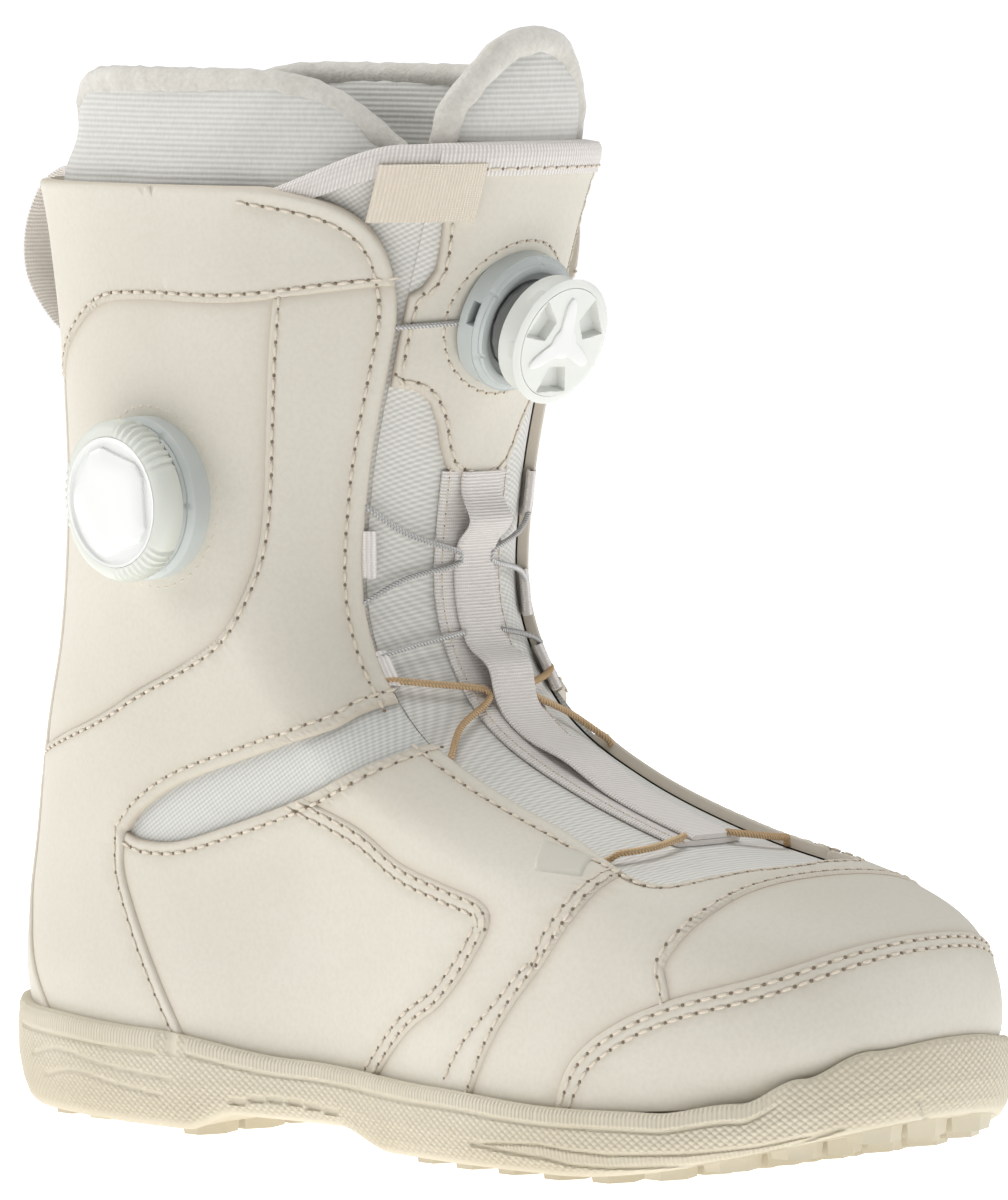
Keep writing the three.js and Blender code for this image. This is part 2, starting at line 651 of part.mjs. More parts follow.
function cord(points, diameter) {
  const path = new THREE.CatmullRomCurve3(points.map((p) => new THREE.Vector3(...p)));
  const steps = Math.max(Math.round(path.getLength() / (4 * diameter)), 3);
  const outline = Array.from({ length: 6 }, (_, i) => {
    const turn = (i * Math.PI) / 3;
    return new THREE.Vector2(Math.cos(turn), Math.sin(turn)).multiplyScalar(diameter / 2);
  });
  return solidOf(new THREE.ExtrudeGeometry(new THREE.Shape(outline), { steps, bevelEnabled: false,
    extrudePath: path }));
}

// Each lace runs just over the skin between the strap, or the front dial, and a facing: as pairs of
// a station and a share of the way across.
const LACES = {
  top: [[9.3, 1], [9.32, 0.55], [9.34, 0]],
  upper: [[7.86, 0.95], [7.66, 0.5], [7.55, 0.02], [7.44, 0.01], [7.3, 0.5], [7.12, 1]],
  middle: [[6.62, 1], [6.72, 0.5], [6.82, 0.02]],
  lower: [[6.4, 1], [6.34, 0.5], [6.28, 0.02], [6.15, 0.01], [5.9, 0.5], [5.5, 0.95]],
  toe: [[3.78, 1], [3.95, 0.55], [4.1, 0.05]],
};

function addLaces() {
  for (const [side, name] of [[-1, "lateral"], [1, "medial"]])
    for (const [place, route] of Object.entries(LACES)) {
      const inner = place === "top" ? FRONT_DIAL.radius + 1.4 : STRAP_HALF + 4.2;
      const outer = THROAT_HALF * ky - 1.2;
      const points = route.map(([t, share]) => {
        const y = THREE.MathUtils.lerp(inner, outer, share);
        return under(t, angleAt(t, side * y + middleAt(t)), -0.6).toArray();
      });
      const tan = place === "lower" || place === "toe";
      add("lace_" + place + "_" + name, cord(points, LACE_DIAMETER), tan ? LACE_TAN : LACE_GREY);
    }
}

function addLoop() {
  const top = COLLAR_HEIGHT;
  const back = skin(stationAt(top - 8), Math.PI).x - 2 * GAP;
  const outer = [[back, top - 1], [back - 6, top + 1], [back - 13, top - 3], [back - 18, top - 12],
    [back - 18.5, top - 20], [back - 14, top - 29], [back - 6, top - 36], [back + 2, top - 40]];
  const line = smoothLine(outer, LOOP_STEPS);
  const inner = line.map((p, i) => {
    const along = line[Math.min(i + 1, 14)].clone().sub(line[Math.max(i - 1, 0)]).normalize();
    return [p.x - along.y * LOOP_THICKNESS, p.y + along.x * LOOP_THICKNESS];
  });
  const band = [...line.map((p) => [p.x, p.y]), ...inner.reverse()];
  const loop = sidePrism(band, -LOOP_WIDTH / 2, LOOP_WIDTH / 2).subtract(upperBlock(-GAP, 8, 11));
  add("pull_loop", loop, WEBBING);
}

addUpper();
addStiffeners();
addSole();
addBoards();
addLiner();
addTongue();
addWings();
addDials();
addLaces();
addLoop();

export default boot;
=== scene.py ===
import math

import bmesh
import bpy
import numpy as np
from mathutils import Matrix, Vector
from mathutils.geometry import delaunay_2d_cdt


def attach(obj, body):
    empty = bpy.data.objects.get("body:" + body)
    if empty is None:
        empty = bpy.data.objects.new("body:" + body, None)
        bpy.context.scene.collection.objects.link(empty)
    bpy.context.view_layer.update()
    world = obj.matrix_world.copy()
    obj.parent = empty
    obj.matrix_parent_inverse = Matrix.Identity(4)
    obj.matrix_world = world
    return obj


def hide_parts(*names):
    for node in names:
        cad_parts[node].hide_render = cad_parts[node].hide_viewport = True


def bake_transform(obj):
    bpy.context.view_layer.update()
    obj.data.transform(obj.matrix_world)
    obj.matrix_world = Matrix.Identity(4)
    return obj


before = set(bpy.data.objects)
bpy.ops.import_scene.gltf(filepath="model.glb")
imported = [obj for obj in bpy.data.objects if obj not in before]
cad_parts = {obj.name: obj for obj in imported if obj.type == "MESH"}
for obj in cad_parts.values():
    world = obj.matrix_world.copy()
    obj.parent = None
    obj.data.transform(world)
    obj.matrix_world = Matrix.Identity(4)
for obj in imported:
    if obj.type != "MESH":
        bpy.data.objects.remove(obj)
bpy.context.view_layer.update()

# ---- Studio ----
# A boot for sale is shown on a seamless white sweep. One big soft light stands behind its heel, a second opposite
# keeps the toe from going dark, and a third hangs overhead.

AIM = Vector((0.08, 0, 0.13))
CAMERA_TURN = math.radians(43)
CAMERA_RISE = math.radians(4)
CAMERA_DISTANCE = 2.4
CAMERA_LENS = 307.4
SKY_LIGHT, SKY_SEEN = 0.2, 1.1  # what it gives, and how bright it looks
FLOOR_GLOW = 0.82

to_camera = Vector((
    math.sin(CAMERA_TURN) * math.cos(CAMERA_RISE),
    -math.cos(CAMERA_TURN) * math.cos(CAMERA_RISE),
    math.sin(CAMERA_RISE),
))
camera = bpy.data.objects.new("camera", bpy.data.cameras.new("camera"))
bpy.context.scene.collection.objects.link(camera)
bpy.context.scene.camera = camera
camera.location = AIM + to_camera * CAMERA_DISTANCE
camera.rotation_mode = "QUATERNION"
camera.rotation_quaternion = (-to_camera).to_track_quat("-Z", "Y")
camera.data.lens = CAMERA_LENS
camera.data.clip_start = 0.05
bpy.context.scene.view_settings.view_transform = "Standard"

world = bpy.data.worlds.new("studio")
bpy.context.scene.world = world
world.use_nodes = True
sky = world.node_tree.nodes["Background"]
sky.inputs["Color"].default_value = (0.97, 0.98, 1, 1)
seen = world.node_tree.nodes.new("ShaderNodeLightPath").outputs["Is Camera Ray"]
sky_level = world.node_tree.nodes.new("ShaderNodeMapRange")
sky_level.inputs["To Min"].default_value = SKY_LIGHT
sky_level.inputs["To Max"].default_value = SKY_SEEN
world.node_tree.links.new(seen, sky_level.inputs["Value"])
world.node_tree.links.new(sky_level.outputs[0], sky.inputs["Strength"])


def add_light(name, place, size, watts, colour):
    lamp = bpy.data.lights.new(name, "AREA")
    lamp.shape = "SQUARE"
    lamp.size = size
    lamp.energy = watts
    lamp.color = colour
    holder = bpy.data.objects.new(name, lamp)
    bpy.context.scene.collection.objects.link(holder)
    holder.location = AIM + Vector(place)
    holder.rotation_mode = "QUATERNION"
    holder.rotation_quaternion = (-Vector(place)).to_track_quat("-Z", "Y")


add_light("key", (-1.95, -0.85, 1.0), 1.3, 27, (1, 0.99, 0.97))
add_light("fill", (1.5, 1.6, 0.7), 1.2, 13, (0.97, 0.98, 1))
add_light("overhead", (0.1, -0.2, 2.0), 1.4, 27, (1, 1, 1))


class Wire:
    """A shader socket that can be written into sums."""

    def __init__(self, finish, socket):
        self.finish = finish
        self.socket = socket

    def __add__(self, other):
        return self.finish.sum("ADD", self, other)

    def __radd__(self, other):
        return self.finish.sum("ADD", other, self)

    def __sub__(self, other):
        return self.finish.sum("SUBTRACT", self, other)

    def __rsub__(self, other):
        return self.finish.sum("SUBTRACT", other, self)

    def __mul__(self, other):
        return self.finish.sum("MULTIPLY", self, other)

    def __rmul__(self, other):
        return self.finish.sum("MULTIPLY", other, self)


class Finish:
    """A material and its nodes. Values that are the same all over the surface are set on the shader itself."""

    def __init__(self, name, **uniform):
        self.material = bpy.data.materials.new(name)
        self.material.use_nodes = True
        self.tree = self.material.node_tree
        self.shader = self.tree.nodes["Principled BSDF"]
        for label, value in uniform.items():
            self.shader.inputs[label.replace("_", " ")].default_value = value

    def node(self, kind, settings=None, inputs=None, output=0):
        made = self.tree.nodes.new(kind)
        for key, value in (settings or {}).items():
            if key == "stops":
                set_stops(made.color_ramp, value)
            else:
                setattr(made, key, value)
        for key, value in (inputs or {}).items():
            self.feed(made.inputs[key], value)
        return Wire(self, made.outputs[output])

    def sum(self, operation, first, second=0.0):
        return self.node("ShaderNodeMath", {"operation": operation}, {0: first, 1: second})

    def feed(self, socket, value):
        if isinstance(value, Wire):
            self.tree.links.new(value.socket, socket)
        else:
            socket.default_value = value

    def place(self):
        return self.node("ShaderNodeTexCoord", output="Object")

    def mapped(self, vector, scale, turn=(0, 0, 0)):
        return self.node("ShaderNodeMapping", {}, {"Vector": vector, "Scale": scale, "Rotation": turn})

    def noise(self, vector, scale, detail=2.0, roughness=0.5):
        sizes = {"Vector": vector, "Scale": scale, "Detail": detail, "Roughness": roughness}
        return self.node("ShaderNodeTexNoise", {}, sizes)

    def mix(self, share, first, second):
        return self.node("ShaderNodeMix", {"data_type": "RGBA"}, {0: share, 6: first, 7: second}, 2)

    def between(self, value, low, high, bottom=0.0, top=1.0):
        limits = {"Value": value, 1: low, 2: high, 3: bottom, 4: top}
        return self.node("ShaderNodeMapRange", {"clamp": True}, limits)

    def bump(self, height, distance, strength=1.0):
        sizes = {"Height": height, "Distance": distance, "Strength": strength}
        self.feed(self.shader.inputs["Normal"], self.node("ShaderNodeBump", {}, sizes))

    def marked(self, label):
        """A value kept on the mesh's points."""
        return self.node("ShaderNodeAttribute", {"attribute_name": label}, output="Fac")

    def colour(self, value):
        self.feed(self.shader.inputs["Base Color"], value)

    def rough(self, value):
        self.feed(self.shader.inputs["Roughness"], value)


def set_stops(ramp, stops):
    for _ in stops[2:]:
        ramp.elements.new(0.5)
    for element, (place, shade) in zip(ramp.elements, stops):
        element.position = place
        element.color = (shade, shade, shade, 1)


floor_mesh = bpy.data.meshes.new("floor")
floor_mesh.from_pydata([(-6, -6, 0), (6, -6, 0), (6, 6, 0), (-6, 6, 0)], [], [(0, 1, 2, 3)])
floor = bpy.data.objects.new("floor", floor_mesh)
bpy.context.scene.collection.objects.link(floor)
sweep = Finish("white_sweep", Roughness=0.9, Emission_Color=(1, 1, 1, 1), Emission_Strength=FLOOR_GLOW)
sweep.colour(sweep.mix(sweep.noise(sweep.place(), 3.0), (0.93, 0.93, 0.93, 1), (0.95, 0.95, 0.95, 1)))
floor.data.materials.append(sweep.material)

# ---- Leather upper ----
# Synthetic leather about two millimetres thick, cut to panels and lapped one over the next: toe cap over vamp, side
# quarter over front quarter, shaft over both. Every lap is closed with one or two rows of thread, and the whole is
# pulled over a last, so all the panels lie on one smooth surface. A stretch gusset lets the ankle bend.

# Stations of the last from the sole up, in millimetres: back x and z, front x and z, widest x, outer and inner half
# width, fullness of the front and back curves, waist, and how far the sides drop.
STATIONS = np.array([
    [-58, 18, 205, 26, 140, 50, 46, 2.35, 3.0, 0.18, 5],
    [-62, 36, 214, 38, 138, 51, 48, 2.35, 3.0, 0.16, 3],
    [-62, 52, 209, 56, 134, 50, 48, 2.3, 2.9, 0.14, 0],
    [-60, 68, 189, 68, 118, 49, 47, 2.2, 2.8, 0.12, 0],
    [-58, 84, 150, 77, 92, 48, 45, 2.1, 2.7, 0.09, 1],
    [-55, 100, 114, 89, 66, 47, 43, 2.0, 2.6, 0.05, 2],
    [-51, 116, 86, 104, 46, 46, 42, 2.0, 2.5, 0.02, 2],
    [-48, 134, 72, 127, 32, 46, 42, 2.0, 2.4, 0, 1],
    [-45, 158, 73, 156, 24, 47, 44, 2.1, 2.4, 0, 0],
    [-45, 185, 80, 186, 20, 49, 46, 2.2, 2.4, 0, 0],
    [-48, 212, 89, 214, 18, 51, 49, 2.2, 2.4, 0, 0],
    [-52, 238, 97, 242, 18, 53, 51, 2.2, 2.4, 0, 0],
    [-52, 264, 98, 270, 18, 52, 50, 2.2, 2.4, 0, 0],
], float)
TOP = len(STATIONS) - 1
LATERAL, MEDIAL = -1, 1
SIDE_NAMES = {LATERAL: "lateral", MEDIAL: "medial"}
MM = 0.001


def smoothstep(value, low, high):
    share = np.clip((value - low) / (high - low), 0, 1)
    return share * share * (3 - 2 * share)


def curved(a, b, d, e, f):
    """The place at share f of the way from b to d, on a smooth curve through all four."""
    return b + f * (d - a + f * (2 * a - 5 * b + 4 * d - e + f * (3 * (b - d) + e - a))) / 2


def skin(t, phi):
    """Points of the upper's outer surface at station t and angle phi, 0 at the toe and positive inwards."""
    t, phi = np.broadcast_arrays(np.asarray(t, float), np.asarray(phi, float))
    i = np.clip(np.floor(t).astype(int), 0, TOP - 1)
    f = (t - i)[..., None]
    a, b, d, e = (STATIONS[np.clip(i + k, 0, TOP)] for k in (-1, 0, 1, 2))
    row = curved(a, b, d, e, f)
    xb, zb, xf, zf, xm, outer, inner, front, back, waist, drop = np.moveaxis(row, -1, 0)
    c, s = np.cos(phi), np.sin(phi)
    p = 2 / np.where(c > 0, front, back)
    x = xm + np.where(c > 0, xf - xm, xm - xb) * np.sign(c) * np.abs(c) ** p
    y = np.where(s < 0, outer, inner) * np.sign(s) * np.abs(s) ** p * (1 - waist * np.exp(-((x - 62) / 42) ** 2))
    y = y + 6 * smoothstep(x, 90, 215) * (1 - smoothstep(t, 2, 7))
    z = zb + (zf - zb) * (x - xb) / (xf - xb) - drop * s * s
    return np.stack([x, y, z], -1)


def slopes(t, phi, step=0.004):
    """How a point of the surface moves per station and per radian."""
    up = (skin(t + step, phi) - skin(t - step, phi)) / (2 * step)
    around = (skin(t, phi + step) - skin(t, phi - step)) / (2 * step)
    return up, around


def measured(line):
    """How far along a line each of its points lies."""
    return np.concatenate([[0], np.cumsum(np.linalg.norm(np.diff(line, axis=0), axis=1))])


def unit(vectors):
    return vectors / np.maximum(np.linalg.norm(vectors, axis=-1, keepdims=True), 1e-12)


def outward(t, phi):
    up, around = slopes(t, phi)
    return unit(np.cross(around, up))


def lifted(t, phi, height):
    """Points a height above the outer surface, or under it where the height is negative."""
    return skin(t, phi) + outward(t, phi) * np.asarray(height, float)[..., None]


def curve_through(points, spacing=1.5, closed=False):
    """A smooth line through points, with a point every so many millimetres."""
    p = np.asarray(points, float)
    ends = (p[-1:], p[:1]) if closed else (2 * p[:1] - p[1:2], 2 * p[-1:] - p[-2:-1])
    if closed:
        p = np.concatenate([p, p[:1]])
        ends = (p[-2:-1], p[1:2])
    q = np.concatenate([ends[0], p, ends[1]])
    f = np.linspace(0, 1, 24, endpoint=False)[:, None]
    dense = [
        curved(a, b, d, e, f)
        for a, b, d, e in zip(q, q[1:], q[2:], q[3:])
    ]
    return even(np.concatenate(dense + [p[-1:]]), spacing)


def even(points, spacing, places=None):
    """The same line with its points an even distance apart, measured on the places it stands for, if given."""
    along = measured(points if places is None else places)
    wanted = np.linspace(0, along[-1], max(int(round(along[-1] / spacing)), 1) + 1)
    return np.stack([np.interp(wanted, along, column) for column in points.T], 1)


START_T, START_PHI = (a.ravel() for a in np.meshgrid(np.linspace(0, TOP, 61), np.linspace(-math.pi, math.pi, 121)))
START_PLACES = skin(START_T, START_PHI)


def locate(targets, axes, allowed):
    """The (t, phi) of each target, which gives two coordinates. Targets off the surface are left out."""
    targets = np.asarray(targets, float)
    usable = allowed(START_T, START_PHI, START_PLACES)
    grid_t, grid_phi, grid_at = START_T[usable], START_PHI[usable], START_PLACES[usable][:, axes]
    nearest = ((targets[:, None] - grid_at[None]) ** 2).sum(-1).argmin(1)
    t, phi = grid_t[nearest].copy(), grid_phi[nearest].copy()
    for _ in range(30):
        miss = targets - skin(t, phi)[:, axes]
        up, around = (s[:, axes] for s in slopes(t, phi))
        det = up[:, 0] * around[:, 1] - up[:, 1] * around[:, 0]
        det = np.where(np.abs(det) < 1e-6, 1e-6, det)
        dt = (miss[:, 0] * around[:, 1] - miss[:, 1] * around[:, 0]) / det
        dphi = (up[:, 0] * miss[:, 1] - up[:, 1] * miss[:, 0]) / det
        t = np.clip(t + np.clip(dt, -0.3, 0.3), 0, TOP)
        phi = phi + np.clip(dphi, -0.2, 0.2)
    good = np.linalg.norm(targets - skin(t, phi)[:, axes], axis=1) < 0.05
    good &= allowed(t, phi, skin(t, phi))
    return np.stack([t, phi], 1)[good]


def on_side(side):
    return lambda t, phi, at: (np.sign(phi) == side) & (np.abs(phi) > 0.02) & (np.abs(phi) < math.pi)


def at_front(side):
    return lambda t, phi, at: (np.sign(phi) == side) & (np.abs(phi) < 1.5)


def at_back(side):
    return lambda t, phi, at: (np.sign(phi) == side) & (np.abs(phi) > 1.7)


def across_toe(t_low, t_high, phi_high, miss):
    """The line round the toe where miss(place) changes sign, from the outer side to the inner one."""
    phi = np.linspace(-phi_high, phi_high, 1201)
    t = np.linspace(t_low, t_high, 241)
    value = miss(skin(t[:, None], phi[None]))
    crossing = (value[:-1] * value[1:] <= 0)
    found = crossing.any(0)
    first = crossing.argmax(0)
    column = np.arange(len(phi))
    a, b = value[first, column], value[first + 1, column]
    share = a / np.where(np.abs(a - b) < 1e-12, 1e-12, a - b)
    line = np.stack([t[first] + share * (t[1] - t[0]), phi], 1)[found]
    return spaced(line)


def spaced(line, spacing=1.5):
    """A line of (t, phi) with its points an even distance apart on the surface."""
    return even(line, spacing, skin(line[:, 0], line[:, 1]))


def beside(line, distance):
    """A line of (t, phi) moved along the surface, to its left as seen from outside."""
    ahead = np.gradient(line, axis=0)
    up, around = slopes(line[:, 0], line[:, 1], 0.03)
    forward = unit(up * ahead[:, :1] + around * ahead[:, 1:])
    left = np.cross(unit(np.cross(around, up)), forward) * np.asarray(distance, float).reshape(-1, 1)
    target = skin(line[:, 0], line[:, 1]) + left
    moved = line.copy()
    for _ in range(6):
        miss = target - skin(moved[:, 0], moved[:, 1])
        up, around = slopes(moved[:, 0], moved[:, 1], 0.02)
        uu, ua, aa = (up * up).sum(1), (up * around).sum(1), (around * around).sum(1)
        mu, ma = (miss * up).sum(1), (miss * around).sum(1)
        det = uu * aa - ua * ua
        moved = moved + np.stack([(mu * aa - ma * ua) / det, (ma * uu - mu * ua) / det], 1) * 0.9
    return moved


# The seams in side view (x, z).
TOE_CAP_EDGE = [(137, 6), (141, 22), (147, 32), (158, 40), (171, 46), (190, 52), (202, 58), (214, 66), (230, 78)]
TOE_TOP_EDGE = [(171, 46), (169, 53), (172, 60), (176, 67), (177, 75), (176, 92)]
SIDE_SEAMS = {
    "vamp_back": [(153, 84), (150, 72), (141, 58), (136, 51), (129, 43), (121, 32), (113, 18), (106, 4)],
    "quarter_front": [(53, 86.5), (57, 85), (75, 79), (89, 72), (105, 68), (117, 65), (120, 60), (113, 49), (104, 40),
                      (90, 31), (64, 6)],
    "heel": [(-4, 73), (-4, 64), (2, 52), (11, 38), (18, 26), (27, 6)],
    "gusset_top": [(96, 115), (72, 107), (63, 101), (42, 94), (17, 86), (3, 79), (-4, 73)],
    "gusset_foot": [(-4, 73), (2, 71.5), (15, 72), (33, 77), (57, 85), (75, 93), (92, 103)],
    "ankle": [(49.2, 205), (49, 201), (47, 187), (45, 169), (43, 147), (40, 135), (33, 123), (20, 115), (1, 107),
              (-18, 99), (-62, 86)],
    "collar": [(90, 206), (70, 204), (39, 200), (10, 200), (-6, 198), (-23, 188), (-38, 176), (-62, 170)],
}
BACKSTAY = [(33, 186), (29, 150), (27, 128), (25, 110), (23.5, 80), (24, 60), (29, 45), (35, 27), (38, 6)]
# The throat: its half width at each height of the shaft, then the same seen from above round the instep.
FACING = [(29, 99), (29, 130), (29, 165), (29, 188), (29.5, 198), (32, 208), (36, 216.5), (42, 223), (50, 227.6)]
THROAT_END = [
    (96, 29), (112, 29), (128, 29.5), (140, 32), (150, 34.5), (157, 34.5), (162, 31), (165, 23), (166.5, 12)
]
COLLAR_TOP = 227


def to_border(line):
    """The line carried on to the lower border of the last where it stops just short of it."""
    for _ in range(2):
        (t, turn), (next_t, next_turn) = line[0], line[2]
        if 0 < t < 0.25 and next_t > t:
            line = np.concatenate([[[0, turn - t * (next_turn - turn) / (next_t - t)]], line])
        line = line[::-1]
    return line


def side_line(name, side):
    line = to_border(locate(curve_through(SIDE_SEAMS[name]), [0, 2], on_side(side)))
    if name == "collar":
        line = np.concatenate([line, [[line[-1, 0] - 0.02, side * math.pi]]])
    return line


lines = {}
cap_x, cap_z = curve_through(TOE_CAP_EDGE, 1).T
lines["toe_cap"] = to_border(across_toe(0, 4, 2.2, lambda at: at[..., 2] - np.interp(at[..., 0], cap_x, cap_z)))
top_x, top_z = curve_through(TOE_TOP_EDGE, 1).T
toe_top = across_toe(0.8, 4.2, 1.25, lambda at: at[..., 0] - np.interp(at[..., 2], top_z, top_x))
lines["toe_top"] = toe_top[skin(toe_top[:, 0], toe_top[:, 1])[:, 2] > 45.2]
rims = []
for side in (LATERAL, MEDIAL):
    for seam in SIDE_SEAMS:
        lines[f"{seam}_{SIDE_NAMES[side]}"] = side_line(seam, side)
    stay = [(side * y, z) for y, z in curve_through(BACKSTAY)]
    lines[f"backstay_{SIDE_NAMES[side]}"] = to_border(locate(stay, [1, 2], at_back(side)))
    facing = locate([(side * y, z) for y, z in curve_through(FACING)], [1, 2], at_front(side))
    end = locate([(x, side * y) for x, y in curve_through(THROAT_END)], [0, 1], at_front(side))
    rims.append(np.concatenate([facing[::-1], end]))
lines["throat"] = spaced(np.concatenate([rims[0], rims[1][::-1]]))
phi = np.linspace(-math.pi, math.pi, 1201)
low, high = np.full(1201, 8.0), np.full(1201, float(TOP))
for _ in range(40):
    middle = (low + high) / 2
    under_top = skin(middle, phi)[:, 2] < COLLAR_TOP
    low, high = np.where(under_top, middle, low), np.where(under_top, high, middle)
lines["collar_top"] = spaced(np.stack([low, phi], 1))
back_t = np.linspace(0, TOP, 121)
for name, turn in (("back_outer", -math.pi), ("back_inner", math.pi)):
    lines[name] = np.stack([back_t, np.full(121, turn)], 1)
lines["bottom"] = np.stack([np.zeros(181), np.linspace(-math.pi, math.pi, 181)], 1)


def distance_to(places, line):
    """How far each place is from a line of points."""
    start, run = line[:-1], np.diff(line, axis=0)
    square = np.maximum((run * run).sum(1), 1e-9)
    best = np.empty(len(places))
    for first in range(0, len(places), 3000):
        part = places[first:first + 3000, None] - start[None]
        share = np.clip((part * run).sum(-1) / square, 0, 1)
        best[first:first + 3000] = np.linalg.norm(part - share[..., None] * run, axis=-1).min(1)
    return best


def at_skin(line):
    return skin(line[:, 0], line[:, 1])


STATION_STEP = 20.0  # millimetres between stations, about
TURNS = np.linspace(-math.pi, math.pi, 721)
RUN_AROUND = np.mean([
    measured(skin(t, TURNS)) for t in (2.5, 9)
], 0)


def unrolled(line):
    """(t, phi) as millimetres on the flat, nearly as they are on the boot."""
    return np.stack([np.interp(line[..., 1], TURNS, RUN_AROUND), line[..., 0] * STATION_STEP], -1)


def cut_plane(lines, borders, rows, fine, grid):
    """Triangles of the (t, phi) plane with an edge along every line, numbered by the piece they belong to."""
    points, edges = [], []
    for line in [*lines.values(), *borders.values()]:
        first = sum(len(p) for p in points)
        points.append(line)
        edges += [(first + k, first + k + 1) for k in range(len(line) - 1)]
    seams = [at_skin(line) for line in lines.values()]
    extra = []
    for distance in rows:
        for line in lines.values():
            for sign in (-1, 1):
                moved = beside(line, sign * distance)[1:-1]
                clear = np.min([distance_to(at_skin(moved), seam) for seam in seams], 0)
                inside = (moved[:, 0] > 0.01) & (moved[:, 0] < TOP - 0.01) & (np.abs(moved[:, 1]) < math.pi - 0.01)
                extra.append(moved[(clear > distance * 0.85) & inside])
    for line in fine:
        for distance in (0, -0.7, 0.7):
            moved = beside(line, distance)
            clear = np.min([distance_to(at_skin(moved), seam) for seam in seams], 0)
            extra.insert(0, moved[(clear > 0.6) & (moved[:, 0] > 0.01) & (moved[:, 0] < TOP - 0.01)])
    clear = np.min([distance_to(at_skin(grid), seam) for seam in seams + [at_skin(line) for line in fine]], 0)
    extra.append(grid[clear > 2.6])
    extra = np.concatenate(extra)
    cells = np.round(at_skin(extra) / 0.5).astype(int)
    extra = extra[np.sort(np.unique(cells, axis=0, return_index=True)[1])]
    plane = unrolled(np.concatenate(points + [extra]))
    made = delaunay_2d_cdt([Vector(p) for p in plane.tolist()], edges, [], 0, 1e-4, True)
    flat = np.array([tuple(v) for v in made[0]])
    at = np.stack([flat[:, 1] / STATION_STEP, np.interp(flat[:, 0], RUN_AROUND, TURNS)], 1)
    faces = np.array(made[2])
    walls = {tuple(sorted(edge)) for edge, source in zip(made[1], made[4]) if source}
    return at, faces, numbered(faces, walls)


def numbered(faces, walls):
    """A number for each triangle, the same for all that can be reached without crossing a wall."""
    beside_edge = {}
    for k, face in enumerate(faces.tolist()):
        for a, b in zip(face, face[1:] + face[:1]):
            beside_edge.setdefault((a, b) if a < b else (b, a), []).append(k)
    near = [[] for _ in faces]
    for edge, pair in beside_edge.items():
        if len(pair) == 2 and edge not in walls:
            near[pair[0]].append(pair[1])
            near[pair[1]].append(pair[0])
    number = np.full(len(faces), -1)
    count = 0
    for k in range(len(faces)):
        if number[k] >= 0:
            continue
        number[k] = count
        waiting = [k]
        while waiting:
            for other in near[waiting.pop()]:
                if number[other] < 0:
                    number[other] = count
                    waiting.append(other)
        count += 1
    return number


# Each panel: a place on it in side view, the seams where it lies over its neighbour, and those where it lies under.
PANELS = {
    "toe_cap": ((200, 35), ["toe_cap"], []),
    "toe_top": ((188, 66), [], ["toe_cap", "toe_top"]),
    "vamp": ((150, 50), ["toe_top", "throat"], ["toe_cap", "vamp_back"]),
    "front_quarter": ((122, 76), ["vamp_back", "gusset_foot", "throat"], ["quarter_front"]),
    "side_quarter": ((50, 50), ["quarter_front", "gusset_foot"], ["heel"]),
    "flex_gusset": ((30, 82), [], ["gusset_top", "gusset_foot"]),
    "shaft": ((60, 150), ["heel", "gusset_top", "ankle", "throat"], ["collar", "backstay"]),
    "ankle_panel": ((10, 165), [], ["ankle", "collar", "backstay"]),
    "collar": ((10, 215), ["collar", "collar_top", "throat"], []),
    "backstay": ((-55, 60), ["backstay"], ["collar"]),
}
ACROSS = ("toe_cap", "toe_top", "vamp", "collar", "backstay")  # panels that run from one side to the other
# Rows of thread: the seam, how far each row runs from it on the outer side, to the left going forward along it, and
# the panels that it sinks into.
THREAD_ROWS = {
    "toe_cap": ([-2.0, -4.6], ["toe_cap"]),
    "toe_top": ([2.0], ["vamp"]),
    "vamp_back": ([-1.4, -4.0], ["front_quarter"]),
    "quarter_front": ([-1.4, -4.0], ["side_quarter"]),
    "heel": ([-3.2], ["shaft"]),
    "gusset_top": ([-2.8], ["shaft"]),
    "gusset_foot": ([-2.6], ["front_quarter", "side_quarter"]),
    "ankle": ([1.8], ["shaft"]),
    "collar": ([-1.8], ["collar"]),
    "throat": ([-4.2], ["shaft", "collar", "front_quarter", "vamp"]),
}
WALL = 2.0  # how far the leather reaches in from the outer surface
LAP = 0.55  # how far a lapped edge stands up
NEST = 0.3  # how far the edge below it is pressed down
FABRIC_DEPTH = 0.8  # the gusset lies under the leather

seams_at = {name: at_skin(line) for name, line in lines.items()}
thread_lines = {}
for seam, (rows, into) in THREAD_ROWS.items():
    for side in (LATERAL, MEDIAL):
        whole = seam in ("toe_cap", "toe_top", "throat")
        name = seam if whole else f"{seam}_{SIDE_NAMES[side]}"
        for k, row in enumerate(rows):
            line = lines[name]
            away = np.full(len(line), row * (1 if whole else -side))
            if seam == "vamp_back" and k:
                away *= 1 + 1.3 * (1 - smoothstep(at_skin(line)[:, 2], 18, 45))
            if seam == "throat":
                away *= 1 - 0.55 * smoothstep(at_skin(line)[:, 0], 128, 150)
            key = f"{seam}_{k}" if whole else f"{seam}_{k}_{SIDE_NAMES[side]}"
            thread = spaced(beside(line, away))
            thread_lines[key] = (thread[at_skin(thread)[:, 2] < COLLAR_TOP - 2.5], into)
threads_at = {name: (at_skin(line), into) for name, (line, into) in thread_lines.items()}


